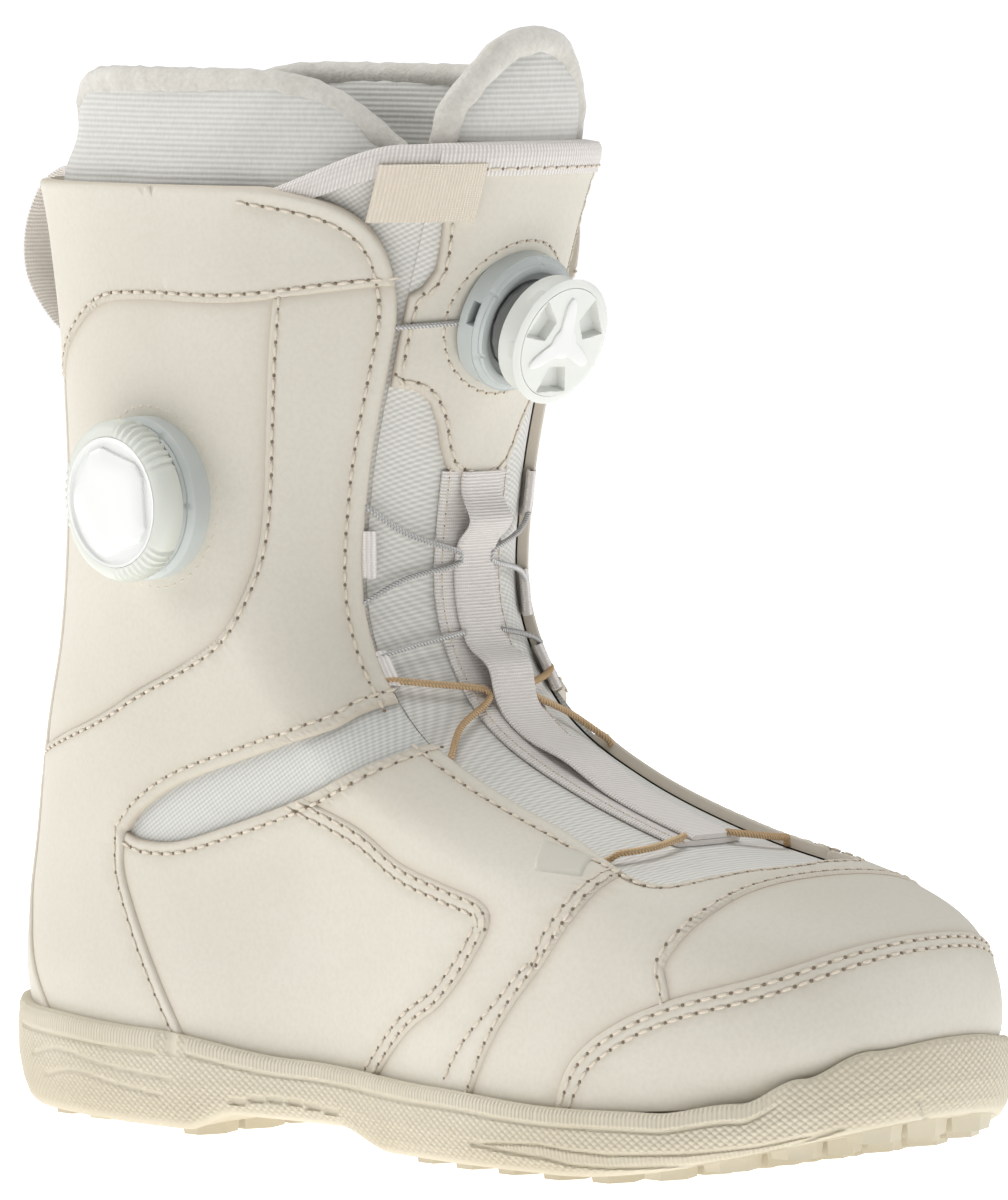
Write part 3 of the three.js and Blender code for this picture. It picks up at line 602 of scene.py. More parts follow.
grid_run = np.arange(RUN_AROUND[0] + 3, RUN_AROUND[-1] - 2, 3.6)
grid_t, grid_phi = np.meshgrid(np.arange(0.1, TOP, 0.16), np.interp(grid_run, RUN_AROUND, TURNS), indexing="ij")
grid_t[:, ::2] += 0.08
grid = np.stack([grid_t.ravel(), grid_phi.ravel()], 1)
grid = grid[grid[:, 0] < TOP - 0.05]
border_names = ("back_outer", "back_inner", "bottom")
upper_at, upper_faces, upper_number = cut_plane(
    {k: v for k, v in lines.items() if k not in border_names},
    {k: lines[k] for k in border_names},
    (0.5, 1.1, 2.0, 3.2),
    [line for line, _ in thread_lines.values()],
    grid,
)
flat_centres = unrolled(upper_at)[upper_faces].mean(1)


def piece_at(x, z, side):
    """The number of the piece at a place in side view."""
    t, phi = locate([(x, z)], [0, 2], on_side(side))[0]
    return upper_number[((flat_centres - unrolled(np.array([t, phi]))) ** 2).sum(1).argmin()]


def named_lines(names, side):
    found = []
    for name in names:
        for key in (name, f"{name}_{SIDE_NAMES[side]}"):
            if key in seams_at:
                found.append(seams_at[key])
    return found


def relief(panel, side, places):
    """The height of a panel's face over the last, and how near it is to a seam, which is kept as painted shade."""
    _, over, below = PANELS[panel]
    height = np.full(len(places), -FABRIC_DEPTH if panel == "flex_gusset" else 0.3)
    seam_shade = np.zeros(len(places))
    for line in named_lines(over, side):
        d = distance_to(places, line)
        height += LAP * np.exp(-d / 5) - 0.75 * np.clip(1 - d / 1.1, 0, 1) ** 2
        seam_shade = np.maximum(seam_shade, np.clip(1 - d / 1.0, 0, 1))
    for line in named_lines(below, side):
        d = distance_to(places, line)
        height -= NEST * np.exp(-d / 2.5)
        seam_shade = np.maximum(seam_shade, np.exp(-d / 1.3))
    for name, (line, into) in threads_at.items():
        if panel not in into or (name[-7:] in ("lateral", "_medial") and not name.endswith(SIDE_NAMES[side])):
            continue
        d = distance_to(places, line)
        height -= 0.32 * np.exp(-(d / 0.8) ** 2)
        seam_shade = np.maximum(seam_shade, 0.55 * np.exp(-(d / 0.9) ** 2))
    return height, seam_shade


def dress(piece, material):
    piece.data.materials.append(material)


def add_piece(name, points, faces, values=None, sharp=None):
    """A new piece, its points in mm, with values kept on them. Edges over so many degrees stay crisp."""
    mesh = bpy.data.meshes.new(name)
    mesh.from_pydata((np.asarray(points) * MM).tolist(), [], faces)
    for label, value in (values or {}).items():
        kept = mesh.attributes.new(label, "FLOAT", "POINT")
        kept.data.foreach_set("value", np.ravel(value).astype(np.float32))
    mesh.shade_smooth()
    if sharp:
        mesh.set_sharp_from_angle(angle=math.radians(sharp))
    piece = bpy.data.objects.new(name, mesh)
    bpy.context.scene.collection.objects.link(piece)
    return piece


def shell_mesh(name, at, faces, face_height, back_height, seam_shade):
    """A closed wall over a part of the last: its face, its back, and the cut edge between them."""
    twins = {round(t, 5): k for k, (t, turn) in enumerate(at) if abs(turn + math.pi) < 1e-6}
    same = np.arange(len(at))
    for k, (t, turn) in enumerate(at):
        if abs(turn - math.pi) < 1e-6:
            same[k] = twins.get(round(t, 5), k)
    faces = same[faces]
    used, faces = np.unique(faces, return_inverse=True)
    faces = faces.reshape(-1, 3)
    t, turn = at[used].T
    out = outward(t, turn)
    face_at = skin(t, turn) + out * face_height[used][:, None]
    back_at = skin(t, turn) + out * np.broadcast_to(back_height, len(at))[used][:, None]
    n = len(used)
    seen = {(a, b) for a, b, c in faces.tolist()} | {(b, c) for a, b, c in faces.tolist()}
    seen |= {(c, a) for a, b, c in faces.tolist()}
    rim = [(b, a, a + n, b + n) for a, b in seen if (b, a) not in seen]
    polygons = faces.tolist() + (faces[:, ::-1] + n).tolist() + rim
    # The seam values carry the painted shade at lap edges, under them and in the thread grooves to the finishes.
    return add_piece(name, np.concatenate([face_at, back_at]), polygons, {"seam": np.tile(seam_shade[used], 2)}, 50)


def add_leather_finish():
    finish = Finish("cream_leather", Roughness=0.5, Specular_IOR_Level=0.35)
    place = finish.place()
    cloud = finish.noise(place, 14, 3)
    pores = finish.noise(place, 900, 3, 0.6)
    pebble = finish.node("ShaderNodeTexVoronoi", {"feature": "F1"}, {"Vector": place, "Scale": 620})
    seam_shade = finish.marked("seam")
    tone = finish.mix(finish.between(cloud, 0.35, 0.68), (0.62, 0.588, 0.505, 1), (0.67, 0.638, 0.56, 1))
    pitted = finish.mix(finish.between(pores, 0.35, 0.6, 0.12, 0.0), tone, (0.47, 0.40, 0.32, 1))
    # Painted shade: the colour darkens along the seams, at the lapped edges, under them and in the thread grooves.
    finish.colour(finish.mix(seam_shade * 0.5, pitted, (0.50, 0.42, 0.33, 1)))
    finish.rough(0.46 + cloud * 0.12 + pores * 0.08)
    finish.bump(pores * 0.5 + pebble * 0.35 + cloud * 1.5, 0.00025, 0.35)
    return finish.material


def add_twill_finish(name, dark, light):
    """Stretch cloth woven in a fine diagonal rib."""
    finish = Finish(name, Roughness=0.75, Sheen_Weight=0.25, Sheen_Roughness=0.5, Specular_IOR_Level=0.2)
    place = finish.place()
    slant = finish.mapped(place, (1, 1, 1), (0, math.radians(32), 0))
    rib = finish.node("ShaderNodeTexWave", {"bands_direction": "Z"},
                      {"Vector": slant, "Scale": 330, "Distortion": 0.6, "Detail": 1.0})
    cross = finish.node("ShaderNodeTexWave", {"bands_direction": "X"},
                        {"Vector": slant, "Scale": 280, "Distortion": 0.4, "Detail": 1.0})
    fuzz = finish.noise(place, 500, 3)
    seam_shade = finish.marked("seam")
    weave = rib * 0.65 + cross * 0.35
    tone = finish.mix(finish.between(weave + fuzz * 0.3, 0.3, 1.0), dark, light)
    # Painted shade: the cloth darkens beside its seams, under the edges of the leather lapped over it.
    finish.colour(finish.mix(seam_shade * 0.45, tone, (0.34, 0.33, 0.30, 1)))
    finish.bump(weave + fuzz * 0.3, 0.00016, 0.5)
    return finish.material


leather = add_leather_finish()
twill = add_twill_finish("gusset_twill", (0.51, 0.51, 0.485, 1), (0.70, 0.70, 0.67, 1))
for panel, ((x, z), _, _) in PANELS.items():
    pairs = [(panel, (LATERAL, MEDIAL))] if panel in ACROSS else [
        (f"{panel}_{SIDE_NAMES[s]}", (s,)) for s in SIDE_NAMES
    ]
    for name, sides in pairs:
        numbers = {piece_at(x, z, side) for side in sides}
        chosen = upper_faces[np.isin(upper_number, list(numbers))]
        touched = np.unique(chosen)
        height, seam_shade = np.zeros(len(upper_at)), np.zeros(len(upper_at))
        for side in (LATERAL, MEDIAL):
            mine = touched[np.where(upper_at[touched, 1] < 0, LATERAL, MEDIAL) == side]
            height[mine], seam_shade[mine] = relief(panel, side, at_skin(upper_at[mine]))
        piece = shell_mesh(f"{name}_panel", upper_at, chosen, height, -WALL, seam_shade)
        dress(piece, twill if panel == "flex_gusset" else leather)
        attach(piece, "shell")
        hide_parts(name)


# ---- Thread ----
# Bonded polyester thread as thick as fishing line, sewn with a lockstitch: each stitch lies on the leather and dips
# into a needle hole at either end. The rows follow the edges of the panels.

STITCH_PITCH = 0.0039
STITCH_LENGTH = 0.0031
THREAD = 0.00046  # half thickness
NEEDLE_HOLE = 0.00052  # radius


def add_node(tree, kind, settings, inputs):
    made = tree.nodes.new(kind)
    for key, value in settings.items():
        setattr(made, key, value)
    for key, value in inputs.items():
        if isinstance(value, bpy.types.NodeSocket):
            tree.links.new(value, made.inputs[key])
        else:
            made.inputs[key].default_value = value
    return made


def new_tree(name, inputs):
    tree = bpy.data.node_groups.new(name, "GeometryNodeTree")
    tree.interface.new_socket("Geometry", in_out="INPUT", socket_type="NodeSocketGeometry")
    for label, kind in inputs.items():
        tree.interface.new_socket(label, in_out="INPUT", socket_type=f"NodeSocket{kind}")
    tree.interface.new_socket("Geometry", in_out="OUTPUT", socket_type="NodeSocketGeometry")
    return tree, tree.nodes.new("NodeGroupInput").outputs


def end_tree(tree, *branches):
    """Joins the branches, each a geometry and the material that it takes."""
    joined = tree.nodes.new("GeometryNodeJoinGeometry")
    for geometry, material in branches:
        real = add_node(tree, "GeometryNodeRealizeInstances", {}, {"Geometry": geometry})
        dressed = add_node(tree, "GeometryNodeSetMaterial", {}, {"Geometry": real.outputs[0], "Material": material})
        tree.links.new(dressed.outputs[0], joined.inputs[0])
    tree.links.new(joined.outputs[0], tree.nodes.new("NodeGroupOutput").inputs[0])


def packed(tree, x, y, z):
    """Three numbers as one vector."""
    return add_node(tree, "ShaderNodeCombineXYZ", {}, {"X": x, "Y": y, "Z": z}).outputs[0]


def sum_of(tree, operation, first, second):
    return add_node(tree, "ShaderNodeMath", {"operation": operation}, {0: first, 1: second}).outputs[0]


def stitch_tree():
    """Stitches with discs of painted shade in the needle holes, along every line of a mesh, standing the way its `up`
    attribute points.
    """
    kinds = {k: "Float" for k in ("Pitch", "Length", "Thread", "Hole")}
    tree, given = new_tree("stitches", {**kinds, "Thread Finish": "Material", "Hole Shade Finish": "Material"})
    row = add_node(tree, "GeometryNodeMeshToCurve", {}, {"Mesh": given["Geometry"]}).outputs[0]
    sizes = {"Curve": row, "Length": given["Pitch"]}
    row = add_node(tree, "GeometryNodeResampleCurve", {"mode": "LENGTH"}, sizes).outputs[0]
    up = add_node(tree, "GeometryNodeInputNamedAttribute", {"data_type": "FLOAT_VECTOR"}, {"Name": "up"}).outputs[0]
    along = tree.nodes.new("GeometryNodeInputTangent").outputs[0]
    turned = add_node(tree, "FunctionNodeAxesToRotation", {"primary_axis": "Z", "secondary_axis": "X"},
                      {"Primary Axis": up, "Secondary Axis": along}).outputs[0]
    ball = add_node(tree, "GeometryNodeMeshUVSphere", {}, {"Segments": 6, "Rings": 4, "Radius": 1.0}).outputs[0]
    half = sum_of(tree, "MULTIPLY", given["Length"], 0.5)
    flat = sum_of(tree, "MULTIPLY", given["Thread"], 0.8)
    stitch = add_node(
        tree, "GeometryNodeTransform", {}, {"Geometry": ball, "Scale": packed(tree, half, given["Thread"], flat)}
    )
    step = sum_of(tree, "MULTIPLY", given["Pitch"], 0.5)
    shallow = sum_of(tree, "MULTIPLY", given["Hole"], 0.4)
    hole = add_node(tree, "GeometryNodeTransform", {}, {
        "Geometry": ball,
        "Translation": packed(tree, step, 0.0, sum_of(tree, "MULTIPLY", given["Thread"], -0.35)),
        "Scale": packed(tree, given["Hole"], given["Hole"], shallow),
    })
    branches = []
    for shape, finish in ((stitch, "Thread Finish"), (hole, "Hole Shade Finish")):
        placed = {"Points": row, "Instance": shape.outputs[0], "Rotation": turned}
        branches.append((add_node(tree, "GeometryNodeInstanceOnPoints", {}, placed).outputs[0], given[finish]))
    end_tree(tree, *branches)
    return tree


def laid_out(name, rows, tree, settings):
    """The plain mesh that a tree makes along rows of points, each with the way that is up there."""
    points, ups, edges = [], [], []
    for row, up in rows:
        edges += [(len(points) + k, len(points) + k + 1) for k in range(len(row) - 1)]
        points += row.tolist()
        ups += up.tolist()
    mesh = bpy.data.meshes.new(name)
    mesh.from_pydata(points, edges, [])
    mesh.attributes.new("up", "FLOAT_VECTOR", "POINT").data.foreach_set("vector", np.ravel(ups).astype(np.float32))
    piece = bpy.data.objects.new(name, mesh)
    bpy.context.scene.collection.objects.link(piece)
    modifier = piece.modifiers.new(name, "NODES")
    modifier.node_group = tree
    for item in tree.interface.items_tree:
        if item.in_out == "INPUT" and item.name in settings:
            modifier[item.identifier] = settings[item.name]
    evaluated = piece.evaluated_get(bpy.context.evaluated_depsgraph_get())
    made = bpy.data.meshes.new_from_object(evaluated)
    piece.modifiers.clear()
    piece.data = made
    piece.data.name = name
    made.shade_smooth()
    return piece


thread_finish = Finish("bonded_thread", Roughness=0.5)
strand = thread_finish.node(
    "ShaderNodeTexWave", {"bands_direction": "DIAGONAL"}, {"Vector": thread_finish.place(), "Scale": 900}
)
thread_finish.colour(thread_finish.mix(strand, (0.60, 0.52, 0.42, 1), (0.76, 0.69, 0.58, 1)))
thread_finish.bump(strand, 0.0001, 0.5)
# Painted shade: a dark disc sunk at each needle hole stands for the shadow inside the hole.
hole_shade_finish = Finish("needle_hole_shade", Roughness=0.9)
hole_shade_finish.colour(
    hole_shade_finish.mix(hole_shade_finish.noise(hole_shade_finish.place(), 400), (0.16, 0.12, 0.08, 1), (0.26, 0.20, 0.14, 1))
)
stitches = stitch_tree()
STITCHES = {"Pitch": STITCH_PITCH, "Length": STITCH_LENGTH, "Thread": THREAD, "Hole": NEEDLE_HOLE,
            "Thread Finish": thread_finish.material, "Hole Shade Finish": hole_shade_finish.material}


def face_rows(name, line, into):
    """A row of thread as points on the faces of the panels that it sinks into."""
    t, turn = line.T
    height = np.full(len(line), -9.0)
    for panel in into:
        for side in (LATERAL, MEDIAL):
            mine = np.sign(turn) == side
            if mine.any():
                height[mine] = np.maximum(height[mine], relief(panel, side, at_skin(line[mine]))[0])
    out = outward(t, turn)
    return (skin(t, turn) + out * (height[:, None] + 0.2)) * MM, out


def on_panels(line, into):
    """The runs of a line that lie on the panels it is sewn to."""
    wanted = {piece_at(*PANELS[panel][0], side) for panel in into for side in (LATERAL, MEDIAL)}
    nearest = ((unrolled(line)[:, None] - flat_centres[None]) ** 2).sum(-1).argmin(1)
    good = np.isin(upper_number[nearest], list(wanted)) & (at_skin(line)[:, 2] > 19)
    runs = np.split(np.arange(len(line)), np.flatnonzero(np.diff(good.astype(int))) + 1)
    return [line[run] for run in runs if good[run[0]] and len(run) > 6]


rows = []
for name, (line, into) in thread_lines.items():
    for run in on_panels(line, into):
        if name.startswith(("toe_cap", "vamp_back", "quarter_front")):
            run = run[1:-1]
        rows.append(face_rows(name, run, into))
seams = laid_out("upper_stitching", rows, stitches, STITCHES)
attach(seams, "shell")


# ---- Sole wall ----
# The sole is a rubber cup, moulded in one piece and cemented round the lasted upper. Its wall carries a finely ribbed
# band along the top edge, knurling below that, a long ribbed inlay beside the ball of the foot, and small slots in
# the arch. The toe of the cup rises into a bumper.

SOLE_TOP = [(-70, 30), (-40, 28), (7, 27), (53, 23), (103, 21), (140, 19.5), (168, 20), (187, 23), (199, 29),
            (209, 35), (222, 41)]
WALL_PROFILE = ([0, 0.05, 0.2, 0.45, 0.75, 0.94, 1], [-1.4, 0.2, 1.5, 2.5, 2.6, 2.3, 1.7])  # share of height, reach
BAND_DEPTH = 3.4
INLAY = [(-92, 9.6, 9.6), (-90, 11.1, 8.2), (-86, 10.5, 7.1), (-79, 10.2, 7.1), (-63, 11.6, 8.9), (-49, 13.9, 11.9),
         (-30, 18.1, 18.0)]  # angle in degrees, upper and lower edge
SLOTS = [(36, 12.2), (42, 13.2), (48, 13.6), (54, 13.4), (60, 12.8), (66, 12.2)]
HEEL_GROOVES = [[(-40, 17), (-27, 19.5), (-8, 17.6), (16, 16)], [(-34, 12.6), (-20, 15), (-2, 13.2), (12, 12)]]
WALL_COLUMNS, WALL_ROWS = 960, 50


def tread_height(x):
    toe = 17 * np.maximum((x - 142) / 78, 0) ** 1.7
    arch = 4.5 * smoothstep(x, 18, 34) * (1 - smoothstep(x, 66, 84))
    return toe + arch + 6 * np.maximum((-44 - x) / 20, 0) ** 1.5


def sole_top(x):
    x = np.asarray(x, float)
    i = np.clip(np.searchsorted([p[0] for p in SOLE_TOP], x), 1, len(SOLE_TOP) - 1)
    place, level = np.array(SOLE_TOP, float).T
    return level[i - 1] + (level[i] - level[i - 1]) * smoothstep(x, place[i - 1], place[i])


def groove(distance, depth, half):
    return -depth * np.exp(-(distance / half) ** 4)


dense = np.linspace(-math.pi, math.pi, 7201)
outline = skin(1.0, dense)[:, :2]
run = measured(outline)
column_run = np.linspace(0, run[-1], WALL_COLUMNS, endpoint=False)
column_phi = np.interp(column_run, run, dense)
column_at = skin(1.0, column_phi)[:, :2]
column_out = outward(1.0, column_phi)[:, :2]
column_out = unit(column_out)
share = np.linspace(0, 1, WALL_ROWS)[:, None]
x = np.broadcast_to(column_at[:, 0], (WALL_ROWS, WALL_COLUMNS))
low, high = tread_height(x) + 4, sole_top(x)
z = low + (high - low) * share
below_top = high - z
reach = np.interp(share, *WALL_PROFILE) + np.zeros(x.shape)
front = smoothstep(x, 20.5, 21.5) * (1 - smoothstep(x, 190, 197))
back = smoothstep(x, -48, -47) * (1 - smoothstep(x, 11, 12))
band = np.maximum(front * (1 - smoothstep(below_top, BAND_DEPTH - 0.5, BAND_DEPTH)),
                  back * (1 - smoothstep(below_top, 4.2, 4.8)))
raised = 0.45 * band + front * groove(below_top - BAND_DEPTH - 0.5, 0.5, 0.45)
raised = raised + back * groove(below_top - 5.2, 0.5, 0.5)
raised += groove(x - 16.2, 0.6, 1.6) * (1 - smoothstep(below_top, 4.5, 5.0)) * (np.abs(column_phi) > 1)
edge_phi = np.abs(np.degrees(column_phi))
angle, upper_edge, lower_edge = np.array(INLAY, float).T
inlay_top = np.interp(-edge_phi, angle, upper_edge, left=np.nan, right=np.nan)
inlay_low = np.interp(-edge_phi, angle, lower_edge, left=np.nan, right=np.nan)
into_inlay = np.nan_to_num(np.minimum(inlay_top - z, z - inlay_low), nan=-9)
inlay = smoothstep(into_inlay, 0.1, 0.5)
raised += groove(into_inlay, 0.8, 0.42) - 0.15 * inlay
for slot_x, slot_z in SLOTS:
    across = np.maximum(np.abs(x - slot_x) - 1.7, 0)
    down = np.maximum(np.abs(z - slot_z) - 0.2, 0)
    raised -= 0.9 * (1 - smoothstep(np.hypot(across, down), 0.5, 0.9)) * (edge_phi > 60)
for line in HEEL_GROOVES:
    path = curve_through(line, 1)
    flat = np.stack([x.ravel(), z.ravel()], 1)
    near = (x.ravel() < 22)
    away = np.full(x.size, 9.0)
    away[near] = distance_to(flat[near], path)
    raised += groove(away.reshape(x.shape), 0.5, 0.55)
notch = distance_to(np.stack([np.broadcast_to(column_at[:, 1], x.shape).ravel(), z.ravel()], 1),
                    np.array([(-6.5, 24), (-4, 20.5), (0.5, 16)])).reshape(x.shape)
raised += groove(notch, 0.8, 0.6) * (x > 205)
reach = reach + raised
wall_xy = column_at[None] + column_out[None] * reach[..., None]
wall = np.concatenate([wall_xy, z[..., None]], -1)


def ring_at(offset, level):
    return np.concatenate([column_at + column_out * offset, np.broadcast_to(level, (WALL_COLUMNS,))[:, None]], 1)


lip = [ring_at(1.1, high[-1] + 0.25), ring_at(0.4, high[-1] + 0.25), ring_at(-1.2, high[-1] - 0.2),
       ring_at(-3.0, high[-1] + 0.2), ring_at(-3.6, high[-1] + 3.0), ring_at(-6.5, high[-1] + 2.0)]
inside = [ring_at(-1.6, high[-1] - 3), ring_at(-3.2, low[0] + 1), ring_at(-2.4, low[0] + 0.1)]
rings = np.concatenate([wall, np.array(lip), np.array(inside)])
ribbed = np.zeros(rings.shape[:2])
knurled = np.zeros(rings.shape[:2])
ribbed[:WALL_ROWS] = np.maximum(band, inlay)
knurled[:WALL_ROWS] = (1 - np.maximum(band, inlay)) * smoothstep(share, 0.05, 0.12) * (raised > -0.2)


def ring_mesh(name, rings, values):
    """A closed tube of rings, each row joined to the next and the last to the first."""
    count, n = rings.shape[:2]
    rows = np.arange(count)[:, None]
    columns = np.arange(n)[None]
    a = rows * n + columns
    b = rows * n + (columns + 1) % n
    c = (rows + 1) % count * n + (columns + 1) % n
    d = (rows + 1) % count * n + columns
    quads = np.stack([a, b, c, d], -1).reshape(-1, 4)
    return add_piece(name, rings.reshape(-1, 3), quads.tolist(), values, 55)


def add_rubber_finish():
    finish = Finish("sole_rubber", Roughness=0.62, Specular_IOR_Level=0.3)
    place = finish.place()
    reading = {k: finish.marked(k) for k in ("run", "ribbed", "knurled")}
    z = finish.node("ShaderNodeSeparateXYZ", {}, {"Vector": place}, output="Z")
    along = reading["run"]
    ribs = finish.sum("SINE", along * (2 * math.pi / 0.0011)) * 0.5 + 0.5
    flat = finish.node("ShaderNodeCombineXYZ", {}, {"X": along, "Y": z})
    turned = finish.mapped(flat, (1, 1.3, 1), (0, 0, math.radians(45)))
    dots = finish.node("ShaderNodeTexVoronoi", {"feature": "F1"}, {"Vector": turned, "Scale": 640, "Randomness": 0.0})
    knurl = finish.between(dots, 0.15, 0.6, 1.0, 0.0)
    # The colour darkens towards the bottom of the sole, over its lowest 20 mm.
    cloud = finish.noise(place, 25, 3)
    lower_darkening = finish.between(z, 0.0, 0.02, 0.25, 0.0)
    relief_height = ribs * reading["ribbed"] * 0.5 + knurl * reading["knurled"] * 0.6
    relief_height = relief_height + finish.noise(place, 900, 2) * 0.1
    tone = finish.mix(finish.between(cloud, 0.35, 0.65), (0.60, 0.55, 0.435, 1), (0.65, 0.605, 0.495, 1))
    # Painted shade: the colour darkens in the troughs of the fine ribs and in the pits of the knurling.
    shaded = finish.between(ribs, 0.0, 0.5, 0.22, 0.0) * reading["ribbed"]
    pit_shade = finish.between(dots, 0.3, 0.6, 0.0, 0.4) * reading["knurled"]
    finish.colour(finish.mix(finish.sum("ADD", shaded, pit_shade) + lower_darkening, tone, (0.46, 0.38, 0.25, 1)))
    finish.rough(0.55 + cloud * 0.15)
    finish.bump(relief_height, 0.0005, 0.9)
    return finish.material


rubber = add_rubber_finish()
runs = np.broadcast_to(column_run * MM, rings.shape[:2])
cup = ring_mesh("sole_wall", rings, {"run": runs, "ribbed": ribbed, "knurled": knurled})
dress(cup, rubber)
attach(cup, "shell")
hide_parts("midsole")


# ---- Tread ----
# The underside of the cup is a flat web with lugs moulded on it: hexagonal blocks across the ball and toe, two rows
# behind the heel, and one long ribbed block under it. The lugs stop at the edge of the sole.

LUG_ROWS = [-50, -36, 16, 94, 108, 122, 136, 150, 164, 178, 192, 204]
LUG_SIZE = 9
LUG_RISE = 4.6
WEB_STRIPS, WEB_THICK = 26, 2.5

strip = np.linspace(-0.995, 0.995, 140)


def half_widths(x, inset):
    """Where the sole's outline, drawn in by an inset, is crossed by a place along the boot."""
    edge = column_at - column_out * inset
    lateral = edge[column_phi < 0]
    medial = edge[column_phi >= 0]
    order = np.argsort(lateral[:, 0])
    other = np.argsort(medial[:, 0])
    return np.interp(x, *lateral[order].T), np.interp(x, *medial[other].T)


start, stop = column_at[:, 0].min() + 1.6, column_at[:, 0].max() - 1.6
web_x = (start + stop) / 2 + (stop - start) / 2 * np.sin(strip * math.pi / 2)
web_low, web_high = half_widths(web_x, 1.2)
across = np.linspace(0, 1, WEB_STRIPS)
web_y = web_low[:, None] + (web_high - web_low)[:, None] * across
web_z = tread_height(web_x)[:, None] + 4.2 + 0 * web_y
dish = 0.8 * np.sin(across * math.pi)[None] ** 0.5
web = np.stack([web_x[:, None] + 0 * web_y, web_y, web_z + dish], -1)


def plate_faces(rows, n):
    """The faces of a closed plate, whose points are a grid and then the grid behind it."""
    behind = rows * n
    faces = []
    for i in range(rows - 1):
        for j in range(n - 1):
            a = i * n + j
            faces.append((a, a + 1, a + n + 1, a + n))
            faces.append((a + behind, a + n + behind, a + n + 1 + behind, a + 1 + behind))
    edge = list(range(n)) + [i * n + n - 1 for i in range(1, rows)]
    edge += [(rows - 1) * n + j for j in range(n - 2, -1, -1)] + [i * n for i in range(rows - 2, 0, -1)]
    return faces + [(b, a, a + behind, b + behind) for a, b in zip(edge, edge[1:] + edge[:1])]


def plate_points(front, back):
    return np.concatenate([front.reshape(-1, 3), back.reshape(-1, 3)])


def lug_tree():
    """Tapered six-sided blocks, one on each point of a mesh, as large as its `size` attribute says."""
    tree, given = new_tree("lugs", {"Sides": "Int", "Taper": "Float", "Finish": "Material"})
    cone = add_node(tree, "GeometryNodeMeshCone", {}, {
        "Vertices": given["Sides"], "Side Segments": 2, "Radius Top": 0.56, "Radius Bottom": given["Taper"],
        "Depth": 1.0,
    }).outputs[0]
    size = add_node(tree, "GeometryNodeInputNamedAttribute", {"data_type": "FLOAT_VECTOR"}, {"Name": "up"}).outputs[0]
    points = add_node(tree, "GeometryNodeMeshToPoints", {}, {"Mesh": given["Geometry"]}).outputs[0]
    placed = add_node(tree, "GeometryNodeInstanceOnPoints", {}, {"Points": points, "Instance": cone, "Scale": size})
    end_tree(tree, (placed.outputs[0], given["Finish"]))
    return tree


plate = add_piece("outsole_web", plate_points(web, web + (0, 0, WEB_THICK)), plate_faces(*web.shape[:2]), sharp=40)
dress(plate, rubber)
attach(plate, "shell")
lug_rows = []
for x in LUG_ROWS:
    low_edge, high_edge = (float(v) for v in half_widths(x, 3.5))
    count = max(int(round((high_edge - low_edge) / 15)), 2)
    width = (high_edge - low_edge) / count
    for k in range(count):
        y = low_edge + width * (k + 0.5)
        centre = (x, y, float(tread_height(np.array(x))) + LUG_RISE / 2)
        lug_rows.append((np.array([centre]) * MM, np.array([(LUG_SIZE * 1.05, width * 0.96, LUG_RISE)]) * MM))
low_edge, high_edge = (float(v) for v in half_widths(-10, 5))
for x in (-22, -10, 2):
    centre = (x, (low_edge + high_edge) / 2, LUG_RISE / 2)
    lug_rows.append((np.array([centre]) * MM, np.array([(11.5, (high_edge - low_edge) * 1.0, LUG_RISE)]) * MM))
lugs = laid_out("outsole_lugs", lug_rows, lug_tree(), {"Sides": 6, "Taper": 0.5, "Finish": rubber})
lugs.data.set_sharp_from_angle(angle=math.radians(30))
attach(lugs, "shell")
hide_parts("outsole")


# ---- Tongue ----
# A padded tongue of stretch twill, hinged by its own softness at the toe end of the throat. Its upper half is faced
# with the leather of the boot, cut back beside the throat so that the twill shows, and sewn down 2 mm from the edge.

TONGUE_HALF = 27.8
STATION_RISE = 26  # millimetres between stations up the shaft
TONGUE_FOOT, TONGUE_TOP = 3.4, 236.4  # station at the toe end, height at the top
FABRIC_FACE, FABRIC_BACK = -2.4, -4.3  # height over the last
FACING_FACE, FACING_BACK = -0.55, -2.3
TONGUE_LEATHER = [(0, 157.4), (-6, 158.2), (-10, 160.4), (-12.6, 165), (-14.8, 171), (-18, 176.4), (-22, 179.2),
                  (-27.6, 180.2), (-27.8, 190), (-27.8, 201.6), (-25.4, 203.4), (-23.4, 207.6), (-23.6, 213),
                  (-24.2, 219), (-25.2, 225), (-27.6, 229), (-27.8, 233), (-27.4, 236.2)]


def front_turn(t, y):
    """The angle at which a ring of the last reaches y in front."""
    t, y = np.broadcast_arrays(np.asarray(t, float), np.asarray(y, float))
    low, high = np.full(t.shape, -math.pi / 2), np.full(t.shape, math.pi / 2)
    for _ in range(36):
        middle = (low + high) / 2
        short = skin(t, middle)[..., 1] < y
        low, high = np.where(short, middle, low), np.where(short, high, middle)
    return (low + high) / 2


def station_at(z):
    """The station whose front line reaches a height."""
    t = np.linspace(3.4, TOP, 400)
    return np.interp(z, skin(t, 0.0)[:, 2], t)


def front_line(y, z, rounds):
    """The (t, phi) of places on the front, from how far across and how high they lie."""
    t = station_at(z)
    for _ in range(rounds):
        t = t + (z - skin(t, front_turn(t, y))[:, 2]) / STATION_RISE
    return np.stack([t, front_turn(t, y)], 1)


